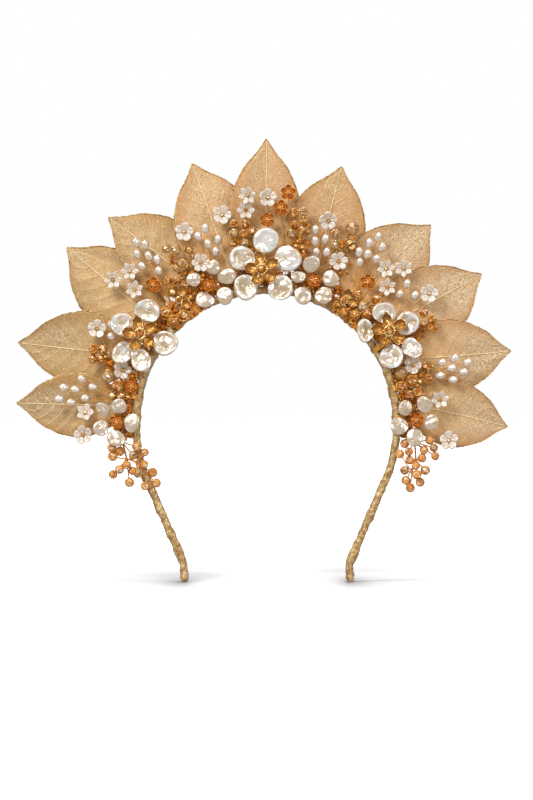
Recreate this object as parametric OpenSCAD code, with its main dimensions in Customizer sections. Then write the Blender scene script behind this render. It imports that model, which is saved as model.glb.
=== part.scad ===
// Bridal crown: a halo of gilded leaves, pearl flowers and cut stones wired on to a tape-wound band.
// Sizes are millimetres. The crown stands on its two tips, with +Z up and its front towards -Y.
// Places on the crown are pairs of x, to the right of the middle, and z, over the ground.

/* [Band] */
// Radius of the arch, to the middle of the band
arch_r = 65; // [64.5:0.1:65.5]
// Height of the arch's centre over the ground
arch_z = 81; // [80:0.5:83]
// Width of the band, seen from the front
band_w = 3.4; // [3:0.1:3.6]
// Depth of the band, from front to back
band_d = 8; // [7:0.5:8.5]
// Length of each straight drop under the arch
drop_h = 5; // [3:0.5:7]
// Lean of the legs towards each other, in degrees
leg_lean = 23.6; // [21:0.2:25]
// Radius of the bend where each leg leaves its drop
leg_bend_r = 61; // [50:1:70]
// Radius of the bend over each tip
tip_bend_r = 16; // [12:1:20]

/* [Wound tips] */
// Height of each tip
tip_h = 6; // [5:0.5:7]
// Width of each tip, seen from the front
tip_w = 4.4; // [4:0.1:5]
// Depth of each tip, from front to back
tip_d = 10; // [9:0.5:11]
// Width of the flat that each tip stands on
foot_w = 2.6; // [2:0.1:3]
// How far the tips sit behind the middle of the band, under the crown's balance point
tip_set = 0.5; // [0.4:0.1:0.6]

/* [Leaves] */
// Thickness of a leaf
leaf_t = 0.8; // [0.7:0.1:0.9]
// How far a leaf's tip leans back behind its base
leaf_back = 5; // [4:0.5:6]
// How far the leaves' bases sit behind the middle of the band
leaf_set = 1.8; // [1.6:0.1:2.2]
// Slope of a leaf across its midrib, so that the leaves lap like shingles
leaf_roll = 0.11; // [0.1:0.01:0.13]
// Slope of each half of a leaf towards its edge
leaf_fold = 0.06; // [0.04:0.01:0.07]
// Half of the width of a leaf's stalk
stalk_w = 1.2; // [1:0.1:1.5]

/* [Pearls] */
// Thickness of a large baroque petal
petal_t = 3.4; // [3:0.1:3.6]
// Thickness of a small baroque petal
small_petal_t = 2.8; // [2.4:0.1:3]
// Tilt of a petal's outer end towards the front, in degrees
petal_tilt = 10; // [6:1:12]
// Length of a rice pearl
rice_l = 5.4; // [5:0.1:5.6]
// Thickness of a rice pearl
rice_d = 3.9; // [3.6:0.1:4]

/* [Hearts and small flowers] */
// Radius of a large flower's metal heart
heart_r = 7.6; // [7:0.1:7.8]
// Width of the cut stone in a metal heart
heart_stone_d = 4; // [3.6:0.1:4.2]
// Radius of a carved shell flower
shell_r = 4.75; // [4.4:0.05:4.8]
// Thickness of a carved shell flower
shell_t = 2.6; // [2.2:0.1:2.8]
// Radius of the ring of beads in a beaded flower
bead_ring_r = 2.55; // [2.4:0.05:2.6]
// Width of the beads in a beaded flower
bead_d = 2.5; // [2.3:0.1:2.6]

/* [Stones and wire] */
// Width of a cut amber stone
amber_d = 3.6; // [3.4:0.1:3.7]
// Width of a cut champagne drop
drop_d = 3.5; // [3.2:0.1:3.6]
// Radius of a wire
wire_r = 0.28; // [0.22:0.01:0.3]
// Radius of the bore through a bead or a pearl
bore_r = 0.5; // [0.48:0.01:0.6]
// Radius of the wire bundle that runs along the band
bundle_r = 0.9; // [0.7:0.1:1]

/* [Hidden] */
// Moves the crown so that its origin is under the middle of its outline
side_shift = 1.33;
depth_shift = 3.69;

// Gap between pieces that seat on each other
seat = 0.3;
// Half of the angle that the wire bundle covers, from the top of the arch
bundle_half = 97;
// Radius of the bundle's path round the arch's centre, and its depth
bundle_path_r = arch_r + 4.5;
bundle_y = -0.9;
// Depth of the layers in front of the leaves
stem_y = -0.9;
fork_y = -4.7;
shell_back_y = -3.1;
rice_y = -4.3;
bead_y = -4.2;
// Length over which a pearl's or a stone's wire rises from the stems
rise_l = 6.5;
// Wire past the end of a pearl or a stone
wire_end = 0.3;

leg_run = (arch_z - drop_h - tip_h - (leg_bend_r + tip_bend_r) * sin(leg_lean)) / cos(leg_lean);
tip_x = arch_r - (leg_bend_r + tip_bend_r) * (1 - cos(leg_lean)) - leg_run * sin(leg_lean);
leaf_base_r = arch_r + band_w / 2 + seat;

// Leaves, in the order centre, left 1 to 5, right 1 to 5. Angles are from straight up, plus to the right.
// roll says which edge laps forward: 1 the left one, -1 the right one, 0 neither.
// fold 1 brings both edges forward.
// columns: base angle, heading, length, width left of the midrib, width right of it, roll, fold, set back
LEAVES = [
    [0, 0, 74, 18.9, 17.3, 1, 1, 0],
    [-13.1, -19.2, 67, 20, 21.5, 1, 1, 0],
    [-24.7, -51.9, 65.1, 15.8, 20.8, 1, 1, 0],
    [-48.1, -50.3, 65.4, 20.5, 19, 0, -1, 0.8],
    [-62.5, -83.3, 65.3, 18, 19.6, -1, 1, 0],
    [-84.5, -88, 58.6, 16, 16, -1, 1, 0],
    [20.3, 12.7, 65.8, 21.4, 19, 1, 1, 0.3],
    [33.7, 47.2, 61.5, 20, 20, 1, 1, 0],
    [50.4, 61.6, 63.8, 18.5, 21.5, 1, 1, 0],
    [63.4, 85.9, 62.5, 18.1, 19.5, 1, 1, 0],
    [83, 102.1, 55.5, 17.2, 16, 1, 1, 0]
];
LEAF_NAMES = [
    "leaf_centre", "leaf_left_1", "leaf_left_2", "leaf_left_3", "leaf_left_4", "leaf_left_5",
    "leaf_right_1", "leaf_right_2", "leaf_right_3", "leaf_right_4", "leaf_right_5"
];

// Flowers. columns: x, z, depth of the petals' middle
FLOWERS = [
    [-2.4, 156.3, -8.8],
    [-63.1, 124.1, -8.8],
    [61.3, 125.6, -8.8],
    [-28.8, 148.5, -7.6],
    [23.6, 150.8, -7.6],
    [-74.9, 79.8, -7.6],
    [74.9, 80.9, -7.6]
];
BIG_NAMES = ["centre", "left", "right"];
SMALL_NAMES = ["left_top", "right_top", "left_low", "right_low"];

// Petals, five for each flower above.
// columns: x and z from the flower's middle, length, width, lift towards the front, turn off the radial line
PETALS = [
    [[2, 14.3, 13.4, 12.8, 0, 0], [13.1, 5.2, 13.8, 12.8, 0, 0], [9.4, -9.3, 13, 12.6, 0, 0],
     [-7.8, -8.9, 13.2, 12.4, 0, 0], [-9.6, 5.4, 13.6, 12.4, 0, 0]],
    [[3.6, 11.3, 12.4, 12.6, 0, 0], [12.4, -4.7, 13.4, 12.4, 0, 0], [0.5, -13.2, 12, 10, 1.4, 0],
     [-8.9, -9.6, 11.4, 10.6, -0.6, 0], [-9, 4.6, 12, 12.2, 0, 0]],
    [[-2.4, 8.9, 11, 12, 0, 0], [9.1, 3.8, 12, 12, 0, 0], [11.2, -8.6, 11, 10, -0.8, 0],
     [1, -12.9, 12, 12.6, 1.2, 0], [-12, 0.1, 8.6, 12, 0, 0]],
    [[2.2, 8.7, 7, 7.6, 0, 0], [9.2, 4.2, 9.6, 8, 0, 0], [8, -5.4, 9, 8.8, 0, 0],
     [-2, -7.6, 8, 9.2, 0, 0], [-7.6, 2.6, 7.6, 6.8, 0, 0]],
    [[-1.3, 8, 8.6, 8.8, 0, 0], [8.4, 0.8, 8.8, 8, 0, 0], [5, -7.6, 9, 8.8, 0, 0],
     [-5.4, -7.6, 9, 8.8, 0, 0], [-7.6, 1.7, 8, 6.2, -0.7, 0]],
    [[1.2, 8, 8.2, 7.8, 0, 0], [7.6, -0.3, 8.2, 9.4, 0, 0], [-0.2, -8, 8.4, 9.4, 0, 0],
     [-7.8, -2.8, 8, 8.2, 0, 0], [-6.6, 6.4, 8.2, 6.6, 0, 0]],
    [[4.1, 7.8, 8, 8.6, 0, 0], [7.5, -1, 7.2, 8.4, 0, 0], [-0.9, -8.5, 9, 8.6, 0, 0],
     [-8.7, -2.9, 9, 9.2, 0, 0], [-5.6, 6, 7.6, 7.6, 0, 0]]
];

// Carved shell flowers.
// columns: x, z, lobes, 1 for a star or 0 for round, spin, tip towards x, tip towards z, lift to the front
SHELLS_LEFT = [
    [-41.2, 175, 5, 0, 10, 0, 0, 0], [-32.8, 159.6, 6, 0, 0, 0, 0, 0], [-76.8, 151, 6, 1, 8, 0, 0, 0],
    [-68.4, 155.4, 6, 1, 0, 0, 0, 0.4], [-66, 146.2, 6, 1, 20, 0, 0, 0], [-84.8, 126.6, 5, 0, 12, 0, 0, 0],
    [-90.7, 84.4, 5, 1, 0, 0, -20, 0], [-91.8, 73.6, 5, 0, 30, 0, 0, 0], [-72.4, 106, 5, 0, 0, 15, 0, 0]
];
SHELLS_CENTRE = [
    [-22.2, 183.5, 5, 0, 0, 0, 0, 0], [-9, 193.4, 6, 1, 10, -20, 10, 3.2], [-10.3, 185.8, 6, 1, 0, 0, 0, 0],
    [0.2, 192.2, 5, 0, 15, 20, 0, 0], [30.8, 181, 5, 0, 20, 0, 18, 0], [35.8, 160.4, 6, 0, 10, 10, 0, 0]
];
SHELLS_RIGHT = [
    [59.8, 156.6, 6, 1, 10, 0, 0, 0], [68.6, 156.8, 6, 1, 30, 0, 0, 0.4], [60.4, 147.4, 6, 1, 25, 0, 0, 0],
    [81.3, 144.2, 5, 0, 8, 0, 0, 0], [73.4, 108.4, 5, 0, 0, -15, 0, 0], [86.8, 91.2, 6, 1, 12, 0, 0, 0],
    [91.2, 70.6, 5, 0, 20, 0, -10, 0]
];

// Rice pearls, a spray to a row. columns: angle of the spray's root on the band, then its pearls' x and z
RICE_LEFT = [
    [-41, [[-65.2, 169.6], [-60.6, 168.6], [-64.6, 163.8], [-58.9, 162.9], [-54.6, 161], [-62.2, 157.8],
           [-53.8, 155.4]]],
    [-21, [[-34.2, 172.6], [-30.6, 176.6], [-29.4, 168.8], [-24.2, 171], [-25.4, 165]]]
];
RICE_RIGHT = [
    [20, [[24.4, 176], [24.2, 170.4], [29.4, 171.4], [24.8, 164.6], [30, 164.8]]],
    [37, [[51.2, 169.4], [55.8, 172.4], [57.8, 167.2], [50.6, 163.8], [46.2, 165], [46.6, 159.6],
          [54.9, 161.4]]],
    [56, [[70.2, 149], [66.6, 143.6], [74, 143.2]]]
];
RICE_LEFT_LOW = [
    [-81, [[-92.2, 101.4], [-101.2, 97.2], [-95.4, 96.2], [-86.6, 97.4], [-103.6, 91.6], [-97.6, 89.8],
           [-90.4, 92]]],
    [-63, [[-77.4, 128.4], [-77.4, 122.6]]]
];
RICE_RIGHT_LOW = [
    [73, [[87.4, 109.8], [93.8, 112], [100.4, 109.8], [92.4, 107], [98.4, 105], [86.6, 103.2],
          [93.2, 101.2]]]
];

// Beaded copper flowers. columns: x, z, beads in the ring, angle of the wire's root, lift towards the front
BEAD_FLOWERS = [
    [10.8, 194.8, 5, 12, 0], [7.2, 187, 5, 8, 0], [0.4, 181, 6, 3, 0], [-56.6, 148.6, 5, -38, 0],
    [50.6, 150, 5, 30, 0], [-67.6, 98, 5, -74, 1.8]
];

// Cut stones, a cluster to a row. columns: angle of the root on the band, then each stone's x, z and lift
STONES_CENTRE = [
    [14, [[13.6, 184.6, 0], [18.6, 185, 0], [14.2, 178.4, 0.9], [18.4, 180.8, 0.9], [12.4, 174, 1.6],
          [17.6, 175.6, 1.9]]],
    [-8, [[-16.3, 179, 0], [-10.6, 178.6, 0], [-16.4, 174.4, 0.9], [-11.4, 173.8, 0.9], [-6.6, 174.9, 0.4],
          [-10.8, 169.4, 1.8]]]
];
STONES_LEFT = [
    [-33, [[-49, 150.6, 0], [-44.6, 150.4, 0.5]]],
    [-31, [[-47, 144.6, 0.4], [-43.6, 141, 1.6], [-39.8, 138.6, 1.6], [-38.6, 143, 0.6],
           [-41.8, 146.2, 1.8]]],
    [-43, [[-50.4, 134.2, 2.2], [-46.4, 130.4, 3.6], [-41.2, 132.8, 3.4]]],
    [-27, [[-50.2, 166.8, 0], [-45.4, 165.6, 0], [-38.8, 165.8, 0], [-42.8, 158.4, 0]]]
];
STONES_RIGHT = [
    [27, [[34.8, 174.2, 0], [34.4, 168.8, 0.4], [42.8, 176.6, 0], [42.8, 167.6, 0]]],
    [35, [[38.6, 140.4, 2], [41, 144.6, 1.4], [34.2, 139.8, 1.6], [37.8, 135.4, 3.4], [43.4, 140, 1.4]]],
    [42, [[46.2, 143.4, 1], [55.2, 140.6, 0], [48.4, 137.6, 0.6], [44.4, 133.6, 3.2], [50.4, 133.8, 2.4]]]
];
STONES_LEFT_LOW = [
    [-72, [[-86.4, 116.4, 0], [-82.6, 111.8, 0.4], [-86.8, 111.6, 0], [-81.8, 116.2, 0.4]]],
    [-78, [[-79.4, 103, 0.2], [-74.4, 97.8, 0.8], [-72.4, 93, 0.4], [-77, 93.2, 0]]]
];
STONES_RIGHT_LOW = [
    [60, [[78.6, 134.4, 0], [82.8, 131, 0], [78.6, 128.6, 0.4], [83.2, 127, 0.4]]],
    [74, [[67.2, 104.4, 1.4], [72.6, 100.4, 0.8], [67.6, 97.6, 1.2], [76, 95, 0.4], [80.4, 106.8, 0],
          [80.8, 101.6, 0.2], [71.6, 93.4, 0.6]]]
];

// Champagne drops. Each hangs on a wire from one of the twigs below.
// twigs, columns: x, z, depth. The first starts at the end of the bundle, each next one at the one before.
TWIGS_LEFT = [[-72.4, 70.4, -2.2], [-70, 61.6, -2.6], [-65.4, 60.2, -6.2]];
TWIGS_RIGHT = [[73.8, 70.4, -2.2], [74.6, 61.2, -2.6], [72.6, 55.2, -4.4]];
// drops, columns: x, z, depth, number of the twig
DROPS_LEFT = [
    [-77.3, 67.1, -4, 0], [-76.9, 62.9, -4, 1], [-73.3, 65.3, -4, 0], [-64.8, 67.6, -6.2, 0],
    [-66.7, 63.4, -4.9, 0], [-60.9, 64.8, -4.9, 2], [-76.7, 53.8, -4, 1], [-73.4, 56.3, -5.8, 1],
    [-69.8, 58.5, -6.1, 1], [-66.8, 55.5, -4, 1], [-61.2, 58.8, -7.5, 2], [-64.2, 54.2, -8.1, 2],
    [-68.5, 49.8, -4, 1], [-60.8, 48, -5.3, 2], [-56.9, 54.8, -4, 2], [-55.1, 49.5, -4, 2]
];
DROPS_RIGHT = [
    [69.1, 69.2, -4, 0], [66.7, 64, -5.2, 2], [71.2, 65.2, -4, 0], [81.6, 70.9, -4, 0], [83.7, 67.1, -4, 0],
    [78.8, 66, -5.5, 0], [84.4, 62.9, -4, 0], [71.6, 61, -4, 1], [77.7, 62, -4, 1], [74.6, 58.2, -5.9, 1],
    [75.1, 53.7, -6.5, 2], [69, 55.8, -4, 2], [79.4, 55.9, -4, 1], [69.7, 50.8, -4, 1], [71.9, 47.1, -4, 2],
    [76.8, 49.9, -4, 2]
];

function unit(v) = v / norm(v);

// A place on the arch's circle of radius r, at an angle from the top, plus to the right
function on_arch(a, r, y) = [r * sin(a), y, arch_z + r * cos(a)];

// Where the wire to a place p leaves the layer of the stems
function elbow(root, p) =
    let (d = [p.x - root.x, 0, p.z - root.z], l = norm(d))
    let (run = min(rise_l, 0.6 * l))
    [p.x - run * d.x / l, stem_y, p.z - run * d.z / l];

// The depth of the back of a beaded flower
function bead_back(row) = bead_y + 0.9 - row[4];

// The two ends of the straight wire through a pearl or a stone of length l at p
function threaded(start, p, l) = [start, p + unit(p - start) * (l / 2 + wire_end)];

// Turns the z axis to the direction v
module along(v) {
    rotate([0, acos(v.z / norm(v)), atan2(v.y, v.x)]) children();
}

// A straight wire from a to b
module wire(a, b, r = wire_r) {
    translate(a) along(b - a) cylinder(h = norm(b - a), r = r, $fn = 5);
}

// The band's section: an oval with flat sides, x across and y from front to back
module band_section(grow = 0) {
    steps = 8;
    round_r = band_w / 2 + grow;
    polygon([
        for (s = [-1, 1]) for (k = [0:steps]) let (a = s * 90 - 90 + 180 * k / steps)
            [round_r * cos(a), s * (band_d - band_w) / 2 + round_r * sin(a)]
    ]);
}

// Sweeps a section round an arc of radius r about c, in the xz plane, from an angle over the x axis
module arc_sweep(c, r, from, angle) {
    translate([c.x, 0, c.y]) rotate([90, 0, 0]) rotate([0, 0, from]) {
        rotate_extrude(angle = angle, $fn = 96) translate([r, 0]) children();
    }
}

// The right leg: a drop, a bend inwards, a straight run and a bend back to upright
module leg() {
    bend = [arch_r - leg_bend_r, arch_z - drop_h];
    low = bend + leg_bend_r * [cos(leg_lean), -sin(leg_lean)];
    run_end = low - leg_run * [sin(leg_lean), cos(leg_lean)];
    translate([arch_r, 0, arch_z - drop_h]) linear_extrude(drop_h) band_section();
    arc_sweep(bend, leg_bend_r, -leg_lean, leg_lean) band_section();
    translate([run_end.x, 0, run_end.y]) rotate([0, leg_lean, 0]) linear_extrude(leg_run) band_section();
    arc_sweep(run_end + tip_bend_r * [cos(leg_lean), -sin(leg_lean)], tip_bend_r, 180 - leg_lean, leg_lean) {
        band_section();
    }
    joint_wrap([arch_r, arch_z - drop_h], 0);
    joint_wrap(low, leg_lean);
    joint_wrap(run_end, leg_lean);
}

// A turn of the tape round the leg at c, where the leg has this lean
module joint_wrap(c, lean) {
    wrap_h = 1.6;
    translate([c.x, 0, c.y]) rotate([0, lean, 0]) translate([0, 0, -wrap_h / 2]) {
        linear_extrude(wrap_h) band_section(0.2);
    }
}

module band() {
    color("#b99a68") union() {
        arc_sweep([0, arch_z], arch_r, 0, 180) band_section();
        leg();
        mirror([1, 0, 0]) leg();
    }
}

// A wound end: an upright oval, rounded in the front view down to a flat foot
module wound_tip(side) {
    front = [
        [-foot_w / 2, 0], [foot_w / 2, 0], [tip_w * 0.45, 0.8], [tip_w / 2, 2.2], [tip_w / 2, tip_h - 1.4],
        [band_w / 2, tip_h], [-band_w / 2, tip_h], [-tip_w / 2, tip_h - 1.4], [-tip_w / 2, 2.2],
        [-tip_w * 0.45, 0.8]
    ];
    color("#b99a68") translate([side * tip_x, tip_set, 0]) intersection() {
        rotate([90, 0, 0]) linear_extrude(tip_d, center = true) polygon(front);
        linear_extrude(tip_h) polygon([
            for (s = [-1, 1]) for (k = [0:4]) let (a = s * 90 - 90 + 45 * k)
                [tip_w / 2 * cos(a), s * (tip_d / 2 - 1.2) + 1.2 * sin(a)]
        ]);
    }
}

// Half of a leaf's width at a fraction t of its length, over its greatest half width
function leaf_half(t) = pow(max(sin(180 * pow(t, 0.95)), 0), 0.85);

// Half of a leaf's width in millimetres: its stalk, then its blade, then its drip tip
function leaf_edge(t, w) = max(w * leaf_half(t), t < 0.5 ? stalk_w : 0.35);

// How far a leaf stands towards the front at a fraction t of its length and v to the right of its midrib
function leaf_front(row, t, v) =
    leaf_fold * row[6] * abs(v) - leaf_roll * row[5] * v - leaf_back * pow(t, 1.3) - row[7];

// A leaf as one shell. Its front view is the outline of the table's row.
module leaf(i) {
    row = LEAVES[i];
    rows = 13;
    across = [-1, -0.66, -0.33, 0, 0.33, 0.66, 1];
    n = len(across);
    base = on_arch(row[0], leaf_base_r + stalk_w * abs(sin(row[1] - row[0])), leaf_set);
    out = [sin(row[1]), 0, cos(row[1])];
    side = [cos(row[1]), 0, -sin(row[1])];
    pts = [
        for (face = [0.5, -0.5]) for (k = [0:rows]) for (s = across)
            let (t = k / rows, v = s * leaf_edge(t, s < 0 ? row[3] : row[4]))
            base + out * t * row[2] + side * v - [0, leaf_front(row, t, v) + face * leaf_t, 0]
    ];
    count = (rows + 1) * n;
    quads = [
        for (k = [0:rows - 1]) for (j = [0:n - 2]) let (a = k * n + j) [a, a + 1, a + n + 1, a + n]
    ];
    rim = concat(
        [for (j = [0:n - 1]) j], [for (k = [1:rows]) k * n + n - 1],
        [for (j = [1:n - 1]) rows * n + n - 1 - j], [for (k = [1:rows - 1]) (rows - k) * n]
    );
    m = len(rim);
    faces = concat(
        [for (q = quads) [q[3], q[2], q[1]]], [for (q = quads) [q[3], q[1], q[0]]],
        [for (q = quads) [q[0] + count, q[1] + count, q[2] + count]],
        [for (q = quads) [q[0] + count, q[2] + count, q[3] + count]],
        [for (j = [0:m - 1]) let (a = rim[j], b = rim[(j + 1) % m]) [a, b, b + count]],
        [for (j = [0:m - 1]) let (a = rim[j], b = rim[(j + 1) % m]) [a, b + count, a + count]]
    );
    color("#cfa677") polyhedron(pts, faces);
}

// A baroque pearl: a wavy disc with a dished front, long along z and wide along x
module baroque(long, wide, thick, phase) {
    n = 12;
    rings = [[0.6, -0.44], [0.92, -0.24], [1, 0.04], [0.92, 0.38], [0.62, 0.42]];
    wave = 0.045;
    function wobble(a) = 1 + wave * sin(2 * a + phase) + 0.7 * wave * sin(3 * a - 2 * phase);
    pts = concat(
        [[0, 0.5 * thick, 0]],
        [for (r = rings) for (i = [0:n - 1]) let (a = 360 * i / n, w = r[0] * wobble(a))
            [w * wide / 2 * cos(a), -r[1] * thick, w * long / 2 * sin(a)]],
        [[0, -0.3 * thick, 0]]
    );
    last = len(pts) - 1;
    top = 1 + (len(rings) - 1) * n;
    faces = concat(
        [for (i = [0:n - 1]) [0, 1 + i, 1 + (i + 1) % n]],
        [for (k = [0:len(rings) - 2]) for (i = [0:n - 1]) let (a = 1 + k * n)
            [a + i, a + n + i, a + (i + 1) % n]],
        [for (k = [0:len(rings) - 2]) for (i = [0:n - 1]) let (a = 1 + k * n)
            [a + (i + 1) % n, a + n + i, a + n + (i + 1) % n]],
        [for (i = [0:n - 1]) [last, top + (i + 1) % n, top + i]]
    );
    polyhedron(pts, faces);
}

// Petal i of flower f, with its long axis pointing away from the flower's middle
module petal(f, i) {
    flower = FLOWERS[f];
    row = PETALS[f][i];
    color(f < 3 ? "#f3ece4" : "#eddccd") {
        translate([flower.x + row[0], flower[2] - row[4], flower.y + row[1]]) {
            rotate([0, atan2(row[0], row[1]) + row[5], 0]) rotate([petal_tilt, 0, 0]) {
                baroque(row[2], row[3], f < 3 ? petal_t : small_petal_t, 50 * i + 90 * f);
            }
        }
    }
}

// The five petals of small flower s
module small_flower(s) {
    for (i = [0:4]) {
        petal(s + 3, i);
    }
}

// A cut stone of 18 flat faces, its tables on the axes. A bore runs along z where the stone is drilled.
module cut_stone(d, drilled = true) {
    difference() {
        intersection_for (turn = [[0, 0, 0], [90, 0, 0], [0, 90, 0]]) {
            rotate(turn) rotate([0, 0, 22.5]) {
                cylinder(r = d / 2 / cos(22.5), h = 1.2 * d, center = true, $fn = 8);
            }
        }
        if (drilled) {
            cylinder(r = bore_r, h = 2 * d, center = true, $fn = 24);
        }
    }
}

// A large flower's heart: five raised metal petals round a hub, with a cut stone clear of it
module metal_heart(f) {
    flower = FLOWERS[f];
    hub_r = 2.6;
    plate = 0.8;
    petal = [
        [0, -0.9], [3.4, -2.1], [5.6, -2.2], [7, -1.3], [heart_r, 0], [7, 1.3], [5.6, 2.2], [3.4, 2.1],
        [0, 0.9]
    ];
    translate([flower.x, flower[2] - 1, flower.y]) rotate([90, 0, 0]) {
        color("#a9752e") union() {
            cylinder(r = hub_r, h = 1.4, $fn = 32);
            for (i = [0:4]) {
                rotate([0, -8, 72 * i + 102]) linear_extrude(plate) polygon(petal);
            }
        }
        color("#c79a55") translate([0, 0, 1.4 + 0.2 + heart_stone_d / 2]) cut_stone(heart_stone_d, false);
    }
}

// A ring of n beads round a middle one, on a small plate. Its back is at z = 0.
module beaded(n) {
    plate = 0.6;
    color("#c46c22") union() {
        cylinder(r = bead_ring_r, h = plate, $fn = 32);
        for (i = [0:n - 1]) {
            rotate([0, 0, 360 * i / n]) translate([bead_ring_r, 0, plate + 0.3]) {
                sphere(d = bead_d, $fn = 24);
            }
        }
        translate([0, 0, plate + 0.9]) sphere(d = bead_d, $fn = 24);
    }
}

// The beaded heart of small flower s
module small_heart(s) {
    flower = FLOWERS[s + 3];
    translate([flower.x, flower[2] + 0.6, flower.y]) rotate([90, 0, 0]) beaded(6);
}

module bead_flowers() {
    for (row = BEAD_FLOWERS) {
        translate([row[0], bead_back(row), row[1]]) rotate([90, 0, 0]) rotate([0, 0, 17 * row[2]]) {
            beaded(row[2]);
        }
    }
}

// A carved shell flower with its back at z = 0: a lobed disc, dished in front, with a bead in the dish
module shell_flower(lobes, star) {
    radii = star == 1 ? [1, 0.78, 0.58, 0.78] : [1, 0.97, 0.74, 0.97];
    dish_r = 6;
    floor_t = 1;
    outline = [
        for (k = [0:4 * lobes - 1]) let (a = 90 * k / lobes) shell_r * radii[k % 4] * [cos(a), sin(a)]
    ];
    difference() {
        linear_extrude(shell_t) polygon(outline);
        translate([0, 0, floor_t + dish_r]) sphere(r = dish_r, $fn = 48);
    }
    translate([0, 0, floor_t + 0.7]) sphere(r = 1, $fn = 24);
}

module shell_flowers(rows) {
    color("#f6efe8") for (row = rows) {
        translate([row[0], shell_back_y - row[7], row[1]]) rotate([90 + row[6], 0, row[5]]) {
            rotate([0, 0, row[4]]) shell_flower(row[2], row[3]);
        }
    }
}

// A rice pearl along z, turned from the half outline of an ellipse, with its bore
module rice_pearl() {
    steps = 7;
    half = [
        for (k = [0:steps]) let (a = -69 + 138 * k / steps) [rice_d / 2 * cos(a), rice_l / 2 * sin(a)]
    ];
    rotate_extrude($fn = 32) {
        polygon(concat([[bore_r, half[0].y]], half, [[bore_r, half[steps].y]]));
    }
}

// Puts a child on the wire that starts at a, at the place p
module threaded_on(a, p) {
    translate(p) along(p - a) children();
}

module rice_pearls(sprays) {
    color("#efe5dc") for (spray = sprays) for (q = spray[1]) {
        root = on_arch(spray[0], bundle_path_r, bundle_y);
        p = [q.x, rice_y, q.y];
        threaded_on(elbow(root, p), p) rice_pearl();
    }
}

module stones(clusters) {
    color("#bd7a2a") for (cluster = clusters) for (q = cluster[1]) {
        root = on_arch(cluster[0], bundle_path_r, bundle_y);
        p = [q.x, rice_y - q.z, q.y];
        threaded_on(elbow(root, p), p) cut_stone(amber_d);
    }
}

module drops(twigs, rows) {
    color("#e2ab7c") for (row = rows) {
        twig = twigs[row[3]];
        start = [twig.x, twig.z, twig.y];
        p = [row[0], row[2], row[1]];
        threaded_on(start, p) cut_stone(drop_d);
    }
}

// The wires of the rice pearls or the stones in a table: out along the leaves, then up through each bead
module spray_wires(table, l, lifted) {
    for (row = table) for (q = row[1]) {
        root = on_arch(row[0], bundle_path_r, bundle_y);
        p = [q.x, rice_y - (lifted ? q.z : 0), q.y];
        turn = elbow(root, p);
        ends = threaded(turn, p, l);
        wire(root, turn);
        wire(ends[0], ends[1]);
    }
}

// A wire that runs behind a flower and turns forward to its back
module post_wire(a, x, z, back) {
    root = on_arch(a, bundle_path_r, bundle_y);
    wire(root, [x, stem_y, z]);
    wire([x, stem_y + wire_r, z], [x, back + seat, z]);
}

// The wires of the carved shell flowers from row a to row b of a table
module shell_wires(rows, a, b) {
    for (i = [a:b]) {
        row = rows[i];
        post_wire(atan2(row[0], row[1] - arch_z), row[0], row[1], shell_back_y - row[7]);
    }
}

module bead_flower_wire(i) {
    row = BEAD_FLOWERS[i];
    post_wire(row[3], row[0], row[1], bead_back(row));
}

// The twigs of a drop spray, with a knot where wires part, and a wire through each drop
module drop_wires(twigs, rows, side) {
    knot_r = 0.75;
    end = on_arch(side * (bundle_half - 1), bundle_path_r, bundle_y);
    forks = [for (twig = twigs) [twig.x, twig.z, twig.y]];
    wire(end, forks[0], 0.5);
    for (i = [1:len(forks) - 1]) {
        wire(forks[i - 1], forks[i], 0.4);
    }
    for (fork = forks) {
        translate(fork) sphere(r = knot_r, $fn = 24);
    }
    for (row = rows) {
        p = [row[0], row[2], row[1]];
        ends = threaded(forks[row[3]], p, drop_d);
        wire(ends[0] + 0.4 * knot_r * unit(p - ends[0]), ends[1]);
    }
}

// A stretch of the bundle from angle a to angle b, both from the top of the arch
module bundle(a, b) {
    translate([0, bundle_y, 0]) arc_sweep([0, arch_z], bundle_path_r, 90 - b, b - a) {
        circle(r = bundle_r, $fn = 6);
    }
}

// A binding at angle a: a loop of wire round the band that holds the bundle
module binding(a) {
    turn = 2.4;
    arc_sweep([0, arch_z], arch_r, 90 - a - turn / 2, turn) {
        difference() {
            union() {
                band_section(0.9);
                translate([bundle_path_r - arch_r - 1.6, -bundle_y]) square([2.6, 1.4], center = true);
            }
            band_section(0.2);
        }
    }
}

// The wires of flower f: one straight forward to its heart, and a branch of it to the back of each petal
module flower_wires(f) {
    flower = FLOWERS[f];
    thick = f < 3 ? petal_t : small_petal_t;
    post_wire(atan2(flower.x, flower.y - arch_z), flower.x, flower.y, flower[2] + (f < 3 ? -1 : 0.6));
    for (row = PETALS[f]) {
        behind = flower[2] - row[4] + thick / 2 + seat + wire_r;
        wire([flower.x, fork_y, flower.y], [flower.x + row[0], behind, flower.y + row[1]]);
    }
}

module stems_centre() {
    color("#b5792f") union() {
        bundle(-17, 29);
        binding(5);
        binding(16);
        flower_wires(0);
        flower_wires(4);
        shell_wires(SHELLS_CENTRE, 0, 5);
        for (i = [0:2]) {
            bead_flower_wire(i);
        }
        spray_wires(STONES_CENTRE, amber_d, true);
        spray_wires([RICE_RIGHT[0]], rice_l, false);
        spray_wires([STONES_RIGHT[0]], amber_d, true);
    }
}

module stems_left() {
    color("#b5792f") union() {
        bundle(-65, -18);
        binding(-56);
        binding(-34);
        flower_wires(1);
        flower_wires(3);
        shell_wires(SHELLS_LEFT, 0, 5);
        bead_flower_wire(3);
        spray_wires(STONES_LEFT, amber_d, true);
        spray_wires(concat(RICE_LEFT, [RICE_LEFT_LOW[1]]), rice_l, false);
    }
}

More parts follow.
